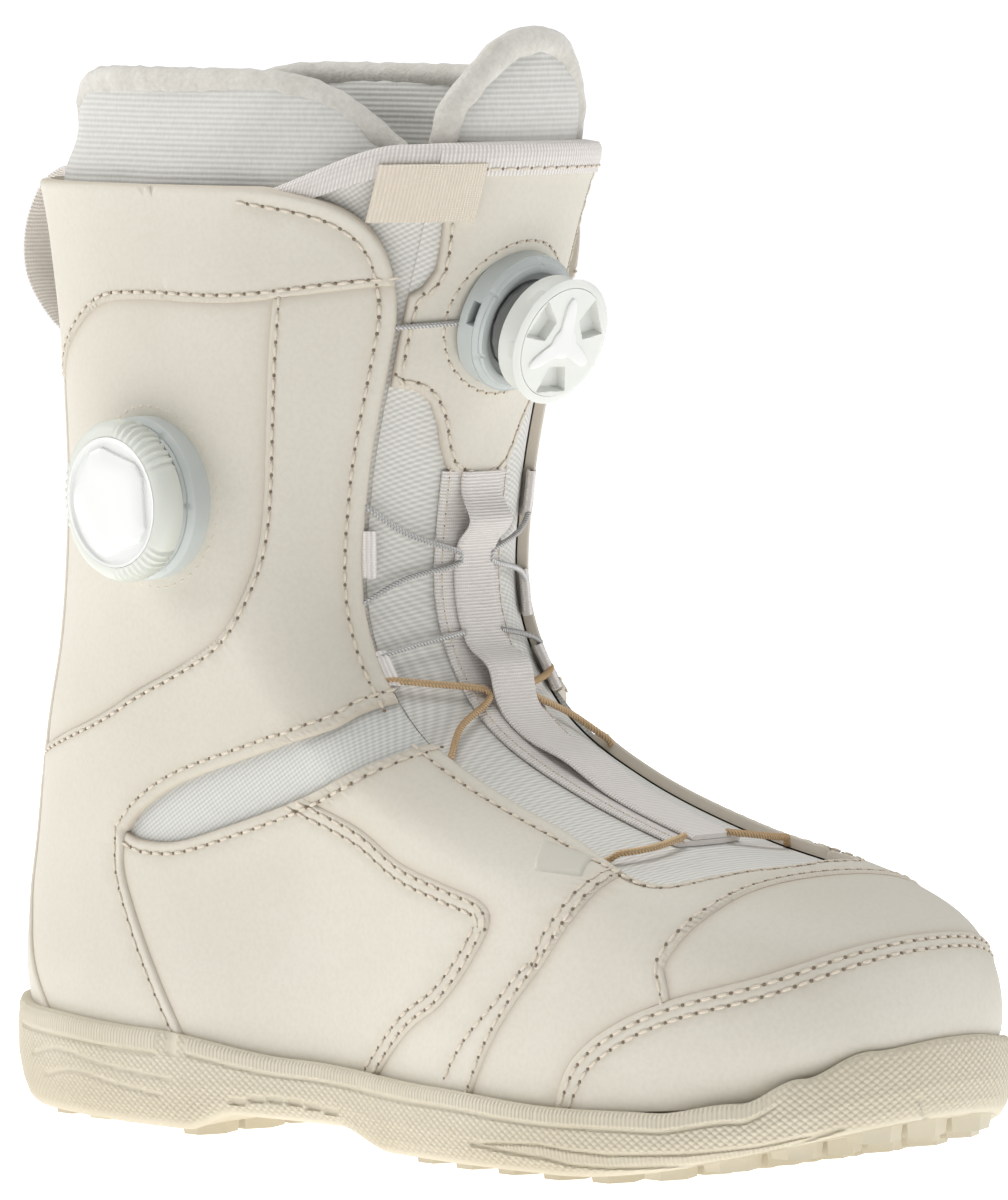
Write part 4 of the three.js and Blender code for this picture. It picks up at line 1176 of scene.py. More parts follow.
def front_plate(name, t, left, right, face, back, columns=24, round_edge=0.0, fall=None):
    """A closed plate on the front of the last, between two widths at each station, and between two heights."""
    t = np.asarray(t, float)
    share = np.linspace(0, 1, columns)
    y = np.asarray(left)[:, None] + (np.asarray(right) - np.asarray(left))[:, None] * share
    tt = np.broadcast_to(t[:, None], y.shape)
    if fall:
        tt = tt - fall(y) * ((tt - t[0]) / (t[-1] - t[0])) ** 6
    turn = front_turn(tt, y)
    top = np.broadcast_to(face(tt, y) if callable(face) else face, y.shape).astype(float)
    low = np.broadcast_to(back(tt, y) if callable(back) else back, y.shape).astype(float)
    if round_edge:
        edge = np.minimum(np.abs(y - y[:, :1]), np.abs(y[:, -1:] - y))
        fall = np.clip(1 - edge / round_edge, 0, 1) ** 2
        top = top - fall * (top - low) * 0.45
        low = low + fall * (top - low) * 0.3
    upper, under_side = lifted(tt, turn, top), lifted(tt, turn, low)
    along = measured(upper[:, y.shape[1] // 2])[:, None] + 0 * y
    values = {"across": np.tile(y.ravel(), 2) * MM, "along": np.tile(along.ravel(), 2) * MM}
    return add_piece(name, plate_points(upper, under_side), plate_faces(*y.shape), values, 50)


tongue_t = np.linspace(TONGUE_FOOT, station_at(TONGUE_TOP), 120)
wide = TONGUE_HALF + 8 * np.clip((5.4 - tongue_t) / 1.4, 0, 1)
tongue_twill = add_twill_finish("tongue_twill", (0.54, 0.53, 0.495, 1), (0.74, 0.73, 0.685, 1))
fabric = front_plate("tongue_fabric", tongue_t, -wide, wide, FABRIC_FACE, FABRIC_BACK, 48)
dress(fabric, tongue_twill)
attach(fabric, "tongue")
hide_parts("tongue_base")

outline = [(y, z) for y, z in TONGUE_LEATHER]
outline += [(0, 236.2)] + [(-y, z) for y, z in reversed(TONGUE_LEATHER)][:-1]
edge_at = []
for (y0, z0), (y1, z1) in zip(outline, outline[1:] + outline[:1]):
    steps = max(int(math.hypot(y1 - y0, z1 - z0) / 1.2), 1)
    edge_at += [(y0 + (y1 - y0) * k / steps, z0 + (z1 - z0) * k / steps) for k in range(steps)]
edge_y, edge_z = np.array(edge_at).T
edge_line = front_line(edge_y, edge_z, 8)
edge_line = np.concatenate([edge_line, edge_line[:1]])
near_t, near_y = np.meshgrid(np.arange(7.7, 11.3, 0.13), np.arange(-30, 31, 3.0), indexing="ij")
near = np.stack([near_t.ravel(), front_turn(near_t.ravel(), near_y.ravel())], 1)
inset = spaced(beside(edge_line, -2.1))
tongue_at, tongue_faces, tongue_number = cut_plane({"edge": edge_line}, {}, (0.5, 1.1, 2.0, 3.2), [inset], near)
tongue_centres = unrolled(tongue_at)[tongue_faces].mean(1)
middle = unrolled(np.array([station_at(190.0), front_turn(station_at(190.0), 0.0)]))
leather_part = tongue_faces[tongue_number == tongue_number[((tongue_centres - middle) ** 2).sum(1).argmin()]]
on_edge = distance_to(at_skin(tongue_at), at_skin(edge_line))
on_row = distance_to(at_skin(tongue_at), at_skin(inset))
height = FACING_FACE - 0.7 * np.clip(1 - on_edge / 1.1, 0, 1) ** 2 - 0.3 * np.exp(-(on_row / 0.8) ** 2)
# Painted shade: the facing darkens at its cut edge and along its row of stitches.
seam_shade = np.maximum(np.clip(1 - on_edge, 0, 1), 0.5 * np.exp(-(on_row / 0.9) ** 2))
facing = shell_mesh("tongue_leather", tongue_at, leather_part, height, FACING_BACK, seam_shade)
dress(facing, leather)
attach(facing, "tongue")
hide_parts("tongue_panel")


def at_height(line, height):
    t, turn = line.T
    return lifted(t, turn, np.full(len(t), height)) * MM, outward(t, turn)


below_binding = at_skin(inset)[:, 2] < 229.5
runs = np.split(np.arange(len(inset)), np.flatnonzero(np.diff(below_binding.astype(int))) + 1)
rows = [at_height(inset[run], FACING_FACE - 0.1) for run in runs if below_binding[run[0]] and len(run) > 3]
tongue_seams = laid_out("tongue_stitching", rows, stitches, STITCHES)
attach(tongue_seams, "tongue")


# ---- Tongue wings ----
# Thin twill gussets close the gap between the tongue and the shaft and keep snow out. Each is sewn to the tongue's
# edge on one side and inside the facing on the other.

WING_FOOT = 4.8


def drooping(y):
    """How much lower the top edge lies at its ends, as a share of a station."""
    return 0.36 * np.clip((np.abs(y) - 35) / 13.6, 0, 1) ** 2


wing_t = np.linspace(WING_FOOT, station_at(TONGUE_TOP - 1), 100)
reach = 37 + 11 * ((wing_t - wing_t[0]) / (wing_t[-1] - wing_t[0])) ** 1.5
for side in (LATERAL, MEDIAL):
    inner, outer = np.full(len(wing_t), 26.5), reach
    ends = (-outer, -inner) if side == LATERAL else (inner, outer)
    wing = front_plate(f"tongue_wing_{SIDE_NAMES[side]}_fabric", wing_t, *ends, -2.75, -3.5, 60, fall=drooping)
    dress(wing, tongue_twill)
    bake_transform(wing)
    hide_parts(f"tongue_wing_{SIDE_NAMES[side]}")


# ---- Tongue webbing ----
# Two layers of woven polyester tape run down the middle of the tongue. The wide one is sewn flat; the narrow one on
# top is tacked at intervals and bows out between, so that the laces can pass under it.


def add_tape_finish(name, pale, deep, pitch):
    """Ribbed tape: fine cords across it, and a selvedge."""
    finish = Finish(name, Roughness=0.7, Sheen_Weight=0.2, Sheen_Roughness=0.5, Specular_IOR_Level=0.25)
    along = finish.marked("along")
    across = finish.marked("across")
    rib = finish.sum("SINE", along * (2 * math.pi / pitch)) * 0.5 + 0.5
    warp = finish.sum("SINE", across * (2 * math.pi / (pitch * 0.8))) * 0.5 + 0.5
    fuzz = finish.noise(finish.place(), 600, 3)
    weave = rib * 0.6 + rib * warp * 0.5 + fuzz * 0.3
    finish.colour(finish.mix(finish.between(weave, 0.15, 1.0), deep, pale))
    finish.bump(weave, 0.00028, 0.7)
    return finish.material


webbing = add_tape_finish("webbing_tape", (0.84, 0.80, 0.765, 1), (0.64, 0.60, 0.56, 1), 0.0008)
strap_t = np.linspace(4.15, station_at(160.0), 150)
middle_y = np.interp(strap_t, [4.1, 5.2, 6.5, 8.0], [2.2, 1.0, 0.4, 0.0])
half_under = np.interp(strap_t, [4.1, 6, 8], [11.5, 12, 11.5])
half_over = np.interp(strap_t, [4.1, 6, 8], [7.2, 7.0, 6.6])
flat_tape = front_plate(
    "tongue_webbing_wide", strap_t, middle_y - half_under, middle_y + half_under, -0.9, -2.2, 26, 0.9
)
dress(flat_tape, webbing)
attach(flat_tape, "tongue")
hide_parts("tongue_strap")
BOWS = [(149, 5.5, 4.6), (112.5, 6.5, 4.2), (93, 5.0, 1.6)]  # height on the boot, half length, how far it bows out


def bow(t, y):
    z = skin(t, 0.0)[..., 2]
    return sum(rise * np.exp(-((z - place) / length) ** 2 * 1.6) for place, length, rise in BOWS)


bowed = front_plate("tongue_webbing_narrow", strap_t, middle_y - half_over, middle_y + half_over,
                    lambda t, y: 0.45 + bow(t, y), lambda t, y: -0.75 + bow(t, y), 18, 0.9)
dress(bowed, webbing)
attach(bowed, "tongue")
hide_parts("tongue_strap_top")
rows = []
for sign in (-1, 1):
    y = middle_y + sign * (half_under - 1.6)
    line = np.stack([strap_t, front_turn(strap_t, y)], 1)
    rows.append(at_height(spaced(line), -0.85))
FINE_STITCHES = {**STITCHES, "Pitch": 0.0028, "Length": 0.0021, "Thread": 0.0003, "Hole": 0.0003}
strap_seams = laid_out("webbing_stitching", rows, stitches, FINE_STITCHES)
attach(strap_seams, "tongue")


# ---- Tongue binding and tab ----
# A strip of grosgrain tape is folded over the raw top edge of the tongue and its wings and sewn through. A small
# folded tab of unbleached tape is caught under it, left blank here.

BINDING_DEPTH = 6.5
binding_top = station_at(TONGUE_TOP + 0.6)
binding_low = station_at(TONGUE_TOP - BINDING_DEPTH)
binding_y = np.linspace(-TONGUE_HALF, TONGUE_HALF, 90)
grosgrain = add_tape_finish("grosgrain", (0.84, 0.80, 0.765, 1), (0.60, 0.56, 0.52, 1), 0.0010)


def folded_edge(name, y, low, top, face, back, body=None):
    """Tape folded over an edge that runs across the front of the last."""
    section = [(low, face), (low + (top - low) * 0.5, face + 0.15), (top - 0.05, face), (top, face - 0.9),
               (top, back + 0.9), (top - 0.05, back), (low + (top - low) * 0.5, back - 0.15), (low, back)]
    count = len(section)
    points = []
    for t, height in section:
        at_t = np.broadcast_to(t, y.shape)
        points.append(lifted(at_t, front_turn(at_t, y), np.full(len(y), height)))
    points = np.array(points)
    n = len(y)
    polygons = []
    for i in range(count):
        for j in range(n - 1):
            a, b = i * n + j, (i + 1) % count * n + j
            polygons.append((a, a + 1, b + 1, b))
    polygons += [tuple(i * n for i in range(count)), tuple(i * n + n - 1 for i in reversed(range(count)))]
    values = {"along": np.tile(measured(points[0]), count) * MM, "across": np.repeat(np.arange(count) * 1.5, n) * MM}
    piece = add_piece(name, points.reshape(-1, 3), polygons, values, 60)
    dress(piece, grosgrain)
    return piece


binding = folded_edge("tongue_binding_tape", binding_y, binding_low, binding_top, 0.15, -4.9)
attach(binding, "tongue")
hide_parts("tongue_binding")
for side in (LATERAL, MEDIAL):
    y = side * np.linspace(27.6, 48.6, 40)
    y = y if side > 0 else y[::-1]
    drop = drooping(y)
    edge = folded_edge(f"wing_binding_{SIDE_NAMES[side]}", y, binding_low - drop, binding_top - drop, -0.6, -4.6)
    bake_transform(edge)
line = np.stack([np.full(90, binding_low + 0.06), front_turn(np.full(90, binding_low + 0.06), binding_y)], 1)
binding_seam = laid_out("binding_stitching", [at_height(spaced(line)[1:-1], 0.25)], stitches, STITCHES)
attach(binding_seam, "tongue")

TAB = (-37.5, -18.0, 219.5, 233.0)  # left, right, bottom, top
tab_t = np.linspace(station_at(TAB[2]), station_at(TAB[3]), 24)
tab_finish = add_tape_finish("unbleached_tape", (0.82, 0.75, 0.64, 1), (0.68, 0.60, 0.49, 1), 0.0006)
tab = front_plate("label_tab_tape", tab_t, np.full(24, TAB[0]), np.full(24, TAB[1]),
                  0.95, -0.15, 24, 0.8)
for old, new in (("along", "side"), ("across", "along"), ("side", "across")):
    tab.data.attributes[old].name = new
dress(tab, tab_finish)
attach(tab, "tongue")
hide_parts("label_tab")


# ---- Laces ----
# Thin lacing cords zigzag between guides under the facings and the middle of the tongue. Most are steel cable laid
# in strands; the two lowest, near the toe, are braided from tan cord. Each crosses from the shaft to the tongue.

LACE_LIFT = 0.35  # height of the cord's middle over the last
LACE_GREY = dict(radius=0.62, lobes=3, deep=0.15, lay=2.6)
LACE_TAN = dict(radius=0.78, lobes=4, deep=0.12, lay=3.4)
LACES = {"top": ([(9.3, 30.5), (9.32, 24), (9.34, 15.2)], LACE_GREY),
         "upper": ([(7.9, 30), (7.66, 20), (7.52, 7), (7.46, 5), (7.40, 7), (7.3, 20), (7.08, 30)], LACE_GREY),
         "middle": ([(6.6, 30), (6.72, 20), (6.82, 6)], LACE_GREY),
         "lower": ([(6.4, 30), (6.34, 20), (6.28, 9), (6.22, 6.5), (6.12, 9), (5.86, 20), (5.42, 29.5)], LACE_TAN),
         "toe": ([(3.86, 33), (3.98, 21), (4.16, 7)], LACE_TAN)}


def tube(name, path, radius, columns):
    """A closed tube along a path in mm. The radius may be a function of the distance along and the turn."""
    path = np.asarray(path, float)
    ahead = unit(np.gradient(path, axis=0))
    first = np.cross(ahead[0], (0.0, 0.0, 1.0))
    if np.linalg.norm(first) < 0.1:
        first = np.cross(ahead[0], (1.0, 0.0, 0.0))
    sideways = [first / np.linalg.norm(first)]
    for step in ahead[1:]:
        carried = sideways[-1] - step * (sideways[-1] @ step)
        sideways.append(carried / np.linalg.norm(carried))
    sideways = np.array(sideways)
    upright = np.cross(ahead, sideways)
    along = measured(path)
    turn = np.arange(columns) * 2 * math.pi / columns
    size = radius(along[:, None], turn[None]) if callable(radius) else np.full((len(path), columns), radius)
    rings = path[:, None] + size[..., None] * (np.cos(turn)[None, :, None] * sideways[:, None]
                                               + np.sin(turn)[None, :, None] * upright[:, None])
    vertices = np.concatenate([path[:1], rings.reshape(-1, 3), path[-1:]])
    faces = []
    last, end = len(vertices) - 1, 1 + (len(rings) - 1) * columns
    for i in range(len(rings) - 1):
        for j in range(columns):
            a, b = 1 + i * columns + j, 1 + i * columns + (j + 1) % columns
            faces.append((a, b, b + columns, a + columns))
    for j in range(columns):
        faces.append((0, 1 + (j + 1) % columns, 1 + j))
        faces.append((last, end + j, end + (j + 1) % columns))
    values = {}
    for label, value in (("along", along[:, None] * MM + 0 * size), ("turn", turn[None] + 0 * size)):
        values[label] = np.concatenate([[value[0, 0]], value.ravel(), [value[-1, 0]]])
    return add_piece(name, vertices, faces, values)


def add_lace_finish(name, pale, deep, lobes, lay, **uniform):
    """Strands twisted round each other, with painted shade darkening the grooves between them."""
    finish = Finish(name, **uniform)
    along = finish.marked("along")
    turn = finish.marked("turn")
    strand = finish.sum("SINE", turn * lobes - along * (lobes * 2 * math.pi / (lay * MM))) * 0.5 + 0.5
    fibre = finish.noise(finish.place(), 900, 3)
    shade = strand * 0.8 + fibre * 0.3
    finish.colour(finish.mix(finish.between(shade, 0.1, 0.8), deep, pale))
    finish.bump(shade, 0.0002, 0.6)
    return finish.material


CABLE_SHINE = {"Roughness": 0.4, "Metallic": 0.25}
lace_finish = {
    "grey": add_lace_finish("lace_cable", (0.66, 0.655, 0.64, 1), (0.24, 0.23, 0.22, 1), 3, 2.6, **CABLE_SHINE),
    "tan": add_lace_finish("lace_braid", (0.64, 0.46, 0.27, 1), (0.36, 0.22, 0.10, 1), 4, 3.4, Roughness=0.75),
}
for name, (points, cord) in LACES.items():
    for side in (LATERAL, MEDIAL):
        t, y = curve_through(np.array([(t * 10, y) for t, y in points]), 1.0).T
        t = t / 10
        dip = np.clip((y - 28.4) / 2, 0, 1) * 1.6
        path = lifted(t, front_turn(t, side * y), LACE_LIFT - dip)
        path = even(path, 0.33)

        def strands(along, turn, cord=cord):
            return cord["radius"] * (
                1 + cord["deep"] * np.cos(cord["lobes"] * (turn - 2 * math.pi * along / cord["lay"]))
            )

        lace = tube(f"lace_{name}_{SIDE_NAMES[side]}_cord", path, strands, 12)
        dress(lace, lace_finish["tan" if cord is LACE_TAN else "grey"])
        height = float(path[:, 2].mean()) * MM
        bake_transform(lace)
        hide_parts(f"lace_{name}_{SIDE_NAMES[side]}")


# ---- Lace guides ----
# Loops of woven tape, sewn in under the edge of each facing, hold the laces where they turn back. Each is a short
# length of the tongue's webbing, folded over and caught in the seam.

GUIDES = [(LATERAL, 7.5, 30.4, 27.6, 5.5), (LATERAL, 6.5, 30.6, 27.8, 4.5),
          (MEDIAL, 7.9, 30.4, 25.4, 5.5), (MEDIAL, 7.1, 30.4, 25.4, 5.5), (MEDIAL, 6.4, 30.4, 25.2, 6)]
guide_parts = []
for number, (side, t, far, near, half) in enumerate(GUIDES):
    ring_t = np.full(26, t)
    reach = np.concatenate([np.linspace(far, near, 10), near - 1.1 * np.sin(np.linspace(0.3, math.pi - 0.3, 6)),
                            np.linspace(near, far, 10)])
    level = np.concatenate(
        [np.full(10, 1.0), 0.35 + 0.75 * np.cos(np.linspace(0.3, math.pi - 0.3, 6)), np.full(10, -0.5)]
    ) - 0.4
    level = level - np.clip(reach - 28.4, 0, 3) * 0.8
    centre_t = lifted(ring_t, front_turn(ring_t, side * reach), level)
    up = unit(lifted(ring_t + 0.05, front_turn(ring_t, side * reach), level) - centre_t)
    across = np.linspace(-half, half, 14)
    grid = centre_t[None] + up[None] * across[:, None, None]
    guide_parts.append(grid)
points, polygons, run_values, cross_values = [], [], [], []
for grid in guide_parts:
    base = len(points)
    rows_count, n = grid.shape[:2]
    points += grid.reshape(-1, 3).tolist()
    run_values += np.tile(np.linspace(0, 8, n), rows_count).tolist()
    cross_values += np.repeat(np.linspace(0, 11, rows_count), n).tolist()
    polygons += [(base + i * n + j, base + i * n + j + 1, base + (i + 1) * n + j + 1, base + (i + 1) * n + j)
                 for i in range(rows_count - 1) for j in range(n - 1)]
values = {"along": np.array(run_values) * MM, "across": np.array(cross_values) * MM}
guides = add_piece("lace_guide_loops", points, polygons, values)
guides.data.shade_flat()
dress(guides, webbing)
thick = guides.modifiers.new("thickness", "SOLIDIFY")
thick.thickness = 0.0006
thick.offset = 0
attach(guides, "shell")


# ---- Lacing dials ----
# Each dial is a moulded base sewn to the boot with a ring of stitches, with a slot where the cable runs in, and a
# knob that turns a spool inside it. The knob has a soft ribbed grip; it is pulled out to let the cable go.


def add_moulded_finish(name, tone, rough, deep=0.75):
    """Moulded plastic with a faint sparked grain; hollows marked in the mesh are darkened with painted shade."""
    finish = Finish(name, Specular_IOR_Level=0.45, Coat_Weight=0.08, Coat_Roughness=0.3)
    place = finish.place()
    hollow = finish.marked("hollow")
    grain = finish.noise(place, 1800, 2)
    cloud = finish.noise(place, 60, 2)
    low = tuple(c * deep for c in tone[:3]) + (1,)
    finish.colour(finish.mix(finish.between(cloud, 0.3, 0.7, 0, 0.12) + hollow * 0.8, tone, low))
    finish.rough(rough + grain * 0.12)
    finish.bump(grain, 0.00005, 0.35)
    return finish.material


knob_plastic = add_moulded_finish("dial_shell_plastic", (0.74, 0.755, 0.71, 1), 0.30)
face_plastic = add_moulded_finish("dial_face_plastic", (0.80, 0.81, 0.79, 1), 0.26)
grip_plastic = add_moulded_finish("dial_grip_rubber", (0.66, 0.68, 0.62, 1), 0.5, 0.6)
base_plastic = add_moulded_finish("dial_base_plastic", (0.56, 0.595, 0.58, 1), 0.38, 0.22)

DIALS = {
    "side": dict(foot=(10.5008, -46.3810, 153.4009), axis=(-0.074353, -0.995482, -0.059045), radius=18.5, base=6.0,
                 knob=8.5, lift=0.0, shell="shell", port=200),
    "front": dict(foot=(82.4892, 0, 196.1875), axis=(0.94989, 0, -0.312583), radius=16.0, base=5.5, knob=8.0,
                  lift=4.0, shell="tongue", port=171)}


def dial_frame(dial):
    """The dial's foot, and its across, up and outward directions."""
    axis = unit(np.array(dial["axis"]))
    across = unit(np.cross((0.0, 0.0, 1.0), axis))
    return np.array(dial["foot"]), across, np.cross(axis, across), axis


def turned(name, dial, radius, height, hollow=None, closed=False):
    """A body turned about a dial's axis from rows of radii and heights over the turn, in mm."""
    foot, across, up, axis = dial_frame(dial)
    radius, height = np.broadcast_arrays(radius, height)
    rows_count, n = radius.shape
    turn = np.arange(n) * 2 * math.pi / n
    spokes = np.cos(turn)[:, None] * across + np.sin(turn)[:, None] * up
    places = foot + radius[..., None] * spokes[None] + height[..., None] * axis
    hollow = np.zeros(radius.shape) if hollow is None else np.broadcast_to(hollow, radius.shape)
    faces = []
    for i in range(rows_count if closed else rows_count - 1):
        for j in range(n):
            a, b = i * n + j, i * n + (j + 1) % n
            c, d = (i + 1) % rows_count * n + (j + 1) % n, (i + 1) % rows_count * n + j
            faces.append((a, b, c, d))
    vertices = places.reshape(-1, 3)
    values = hollow.ravel()
    if not closed:
        ends = [places[0].mean(0), places[-1].mean(0)]
        vertices = np.concatenate([vertices, ends])
        values = np.concatenate([values, [hollow[0].mean(), hollow[-1].mean()]])
        first, last = rows_count * n, rows_count * n + 1
        faces += [(first, (j + 1) % n, j) for j in range(n)]
        faces += [(last, (rows_count - 1) * n + j, (rows_count - 1) * n + (j + 1) % n) for j in range(n)]
    return add_piece(name, vertices, faces, {"hollow": values}, 38)


TURN = np.arange(288) * 2 * math.pi / 288
ROUND = np.ones(len(TURN))
screw_pieces = []


def near_turn(centre, half, soft=0.04):
    """1 within half of a turn, falling to 0 over soft."""
    away = np.abs((TURN - centre + math.pi) % (2 * math.pi) - math.pi)
    return np.clip((half - away) / soft + 0.5, 0, 1)


def polygon(sides, start, size, rounding=0.12):
    """The radius of a polygon with rounded corners at each turn."""
    step = 2 * math.pi / sides
    bare = math.cos(step / 2) / np.cos((TURN - start) % step - step / 2)
    return size * np.minimum(bare, 1 - rounding * (1 - math.cos(step / 2)) * 2)


for name, dial in DIALS.items():
    r, base, lift = dial["radius"], dial["base"], dial["lift"]
    top = base + dial["knob"] + lift
    port = near_turn(math.radians(dial["port"]), 0.16, 0.01)
    levels = [(r + 0.8, -0.9, 0), (r + 0.8, 1.3, 0), (r + 0.8, 1.4, 1), (r + 0.8, 3.6, 1), (r + 0.8, 3.7, 0),
              (r + 0.5, base - 1.9, 0), (r - 0.4, base - 0.9, 0), (r - 0.8, base - 0.85, 0), (r - 0.9, base - 0.6, 0),
              (r - 1.1, base - 0.1, 0), (r - 1.8, base, 0), (r - 2.8, base, 0), (r - 2.9, base - 1.4, 0),
              (r - 5, base - 1.5, 0),
              (r - 5, base - 4.6, 0), (2.5, base - 4.6, 0), (2.5, -0.9, 0)]
    radius = np.array([row[0] - 3.4 * port * row[2] for row in levels])
    height = np.array([ROUND * row[1] for row in levels])
    # Painted shade: the cable slot and the recess inside the housing's rim are marked to be darkened.
    hollow = np.array([port * row[2] + (0.35 if 11 <= k <= 14 else 0) for k, row in enumerate(levels)])
    notches = sum(near_turn(math.radians(dial["port"] - 22 - 60 * k), 0.03, 0.02) for k in range(6))
    radius[6:10] = radius[6:10] - 0.5 * notches
    housing = turned(f"{name}_dial_housing", dial, radius, height, hollow, True)
    dress(housing, base_plastic)
    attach(housing, dial["shell"])
    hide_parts(f"{name}_dial_base")

    foot, across, up, axis = dial_frame(dial)
    ring = [foot + (r + 3.0) * (math.cos(a) * across + math.sin(a) * up) for a in np.linspace(0, 2 * math.pi, 120)]
    if name == "side":
        line = locate([(p[0], p[2]) for p in ring], [0, 2], on_side(LATERAL))
        sewn = [at_height(spaced(line), 0.05)]
    else:
        ring = np.array(ring)
        sewn = [at_height(spaced(front_line(ring[:, 1], ring[:, 2], 6)), FACING_FACE)]
    seam = laid_out(f"{name}_dial_stitching", sewn, stitches, {**STITCHES, "Pitch": 0.003, "Length": 0.0023})
    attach(seam, dial["shell"])

    low = base + 0.3 + lift
    body = f"{name}_knob"
    if name == "side":
        ribs = sum(near_turn(math.radians(c), 0.5, 0.12) for c in (55, 175, 295))
        wave = 0.5 * np.clip(np.cos(TURN * 54), -0.5, 1) * np.clip(ribs, 0, 1)
        bulge = 0.35 * np.cos(TURN * 3 + math.radians(15))
        outer = r + 0.15 + bulge + wave
        spin = [(-1.9, low + 0.5, 0), (-0.5, low + 0.6, 0.5), (0.1, low + 1.1, 1), (0.35, low + 2.5, 1),
                (0.2, low + 4.4, 1), (-0.6, low + 5.8, 1), (-1.9, low + 6.7, 0.5), (-3.0, low + 7.0, 0),
                (-3.0, low + 5, 0), (-1.9, low + 3, 0)]
    else:
        facets = polygon(6, math.radians(10), 1.0, 0.5)
        panels = sum(near_turn(math.radians(c), 0.36, 0.05) for c in (40, 100, 160, 220, 280, 340))
        outer = r * facets * 1.015 + 0.1
        spin = [(-1.7, low + 0.4, 0), (-0.4, low + 0.5, 0.2), (0.1, low + 0.9, 0.2), (0.1, low + 1.7, 0.2),
                (-0.55 * panels, low + 2.0, 1), (-0.55 * panels, low + 4.6, 1), (0.1, low + 4.9, 0.2),
                (0, low + 5.7, 0.2), (-0.6, low + 6.4, 0), (-1.5, low + 6.9, 0), (-2.6, low + 7.0, 0),
                (-2.6, low + 5, 0), (-1.7, low + 3, 0)]
    radius = np.array([(outer if row[2] else ROUND * r) + row[0] for row in spin])
    height = np.array([ROUND * row[1] for row in spin])
    grip = turned(f"{name}_dial_grip_ring", dial, radius, height, None, True)
    dress(grip, grip_plastic if name == "side" else knob_plastic)
    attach(grip, body)
    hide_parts(f"{name}_dial_grip")

    reach = r - (3.1 if name == "side" else 2.7)
    across_face = np.concatenate([[1.0, 1.0], np.linspace(1.0, 0.04, 44)])
    radius = across_face[:, None] * reach * ROUND
    crown = low + 7.1 + 0.35 * (1 - across_face[:, None] ** 2) * ROUND
    crown[0] = low + 0.6
    crown[1] = low + 6.6
    hollow = np.zeros(crown.shape)
    if name == "side":
        dish = ROUND * reach * 0.96
        inside = np.clip((dish - radius) / 0.5, 0, 1)
        crown[2:] -= 0.7 * inside[2:]
    else:
        for k in range(3):
            centre = math.radians(150 + 120 * k)
            px, py = radius * np.cos(TURN - centre), radius * np.sin(TURN - centre)
            half = 1.6 + 0.36 * (px - 6.0)
            edge = np.minimum(np.minimum(px - 6.0, 12.1 - px), (half + 1.1 - np.abs(py)) * 0.94)
            inside = np.clip(edge / 0.45, 0, 1)
            crown[2:] -= 2.2 * inside[2:]
            # Painted shade darkens the three pockets in the front knob's face.
            hollow = np.maximum(hollow, inside * 0.55)
    cap = turned(f"{name}_dial_cap", dial, radius, crown, hollow)
    dress(cap, face_plastic if name == "side" else knob_plastic)
    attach(cap, body)
    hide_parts(f"{name}_dial_knob")

    if name == "side":
        plate = polygon(5, math.radians(38), reach * 0.94, 0.24)
        shape = [(0.985, low + 6.2), (1.0, low + 6.8), (0.985, low + 7.35), (0.94, low + 7.6)] + [
            (s, low + 7.65) for s in (0.6, 0.3, 0.05)
        ]
    else:
        arms = sum(
            np.exp(-(((TURN - math.radians(90 + 120 * k) + math.pi) % (2 * math.pi) - math.pi) / 0.34) ** 2)
            for k in range(3)
        )
        plate = 3.9 + 7.2 * np.clip(arms, 0, 1) ** 1.3
        shape = [(0.985, low + 6.9), (1.0, low + 7.4), (0.975, low + 7.75), (0.92, low + 7.9)] + [
            (s, low + 7.95) for s in (0.6, 0.3, 0.05)
        ]
    radius = np.array([plate * row[0] for row in shape])
    height = np.array([ROUND * row[1] for row in shape])
    emblem = turned(f"{name}_dial_plate", dial, radius, height)
    dress(emblem, face_plastic)
    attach(emblem, body)
    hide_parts(f"{name}_dial_face")

for name, dial in DIALS.items():
    base = dial["base"]
    socket = polygon(6, 0.0, 1.25, 0.05)
    shape = [(2.2, 0.2), (2.2, base - 3.2), (3.4, base - 3.1), (3.4, base - 2.2), (3.0, base - 1.8)]
    radius = np.array([ROUND * row[0] for row in shape] + [socket, socket])
    height = np.array([ROUND * row[1] for row in shape + [(0, base - 1.8), (0, base - 3.0)]])
    screw = turned(f"{name}_dial_fixing_screw", dial, radius[:, ::4], height[:, ::4])
    screw_pieces.append(screw)
    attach(screw, dial["shell"])
    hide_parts(f"{name}_dial_screw")


def give_finish(node, material):
    """A solid of the frame keeps its shape and takes a new material."""
    mesh = bpy.data.objects[node].data
    mesh.materials.clear()
    mesh.materials.append(material)


spool_finish = add_moulded_finish("dial_spool_plastic", (0.36, 0.37, 0.36, 1), 0.4)
screw_finish = Finish("dial_screw_steel", Metallic=1.0)
turning = screw_finish.noise(screw_finish.mapped(screw_finish.place(), (1, 1, 30)), 300, 2)
screw_finish.colour(screw_finish.mix(turning, (0.42, 0.42, 0.43, 1), (0.62, 0.62, 0.63, 1)))
screw_finish.rough(0.25 + turning * 0.2)
screw_finish.bump(turning, 0.00003, 0.4)
for name, screw in zip(DIALS, screw_pieces):
    dress(screw, screw_finish.material)
    give_finish(f"{name}_dial_spool", spool_finish)


# ---- Liner ----
# The removable inner boot: two padded cuffs and a padded tongue, foam between a ribbed knit face and fleece, with
# a rolled fleece edge. The cuffs meet behind the heel and stand above the collar.

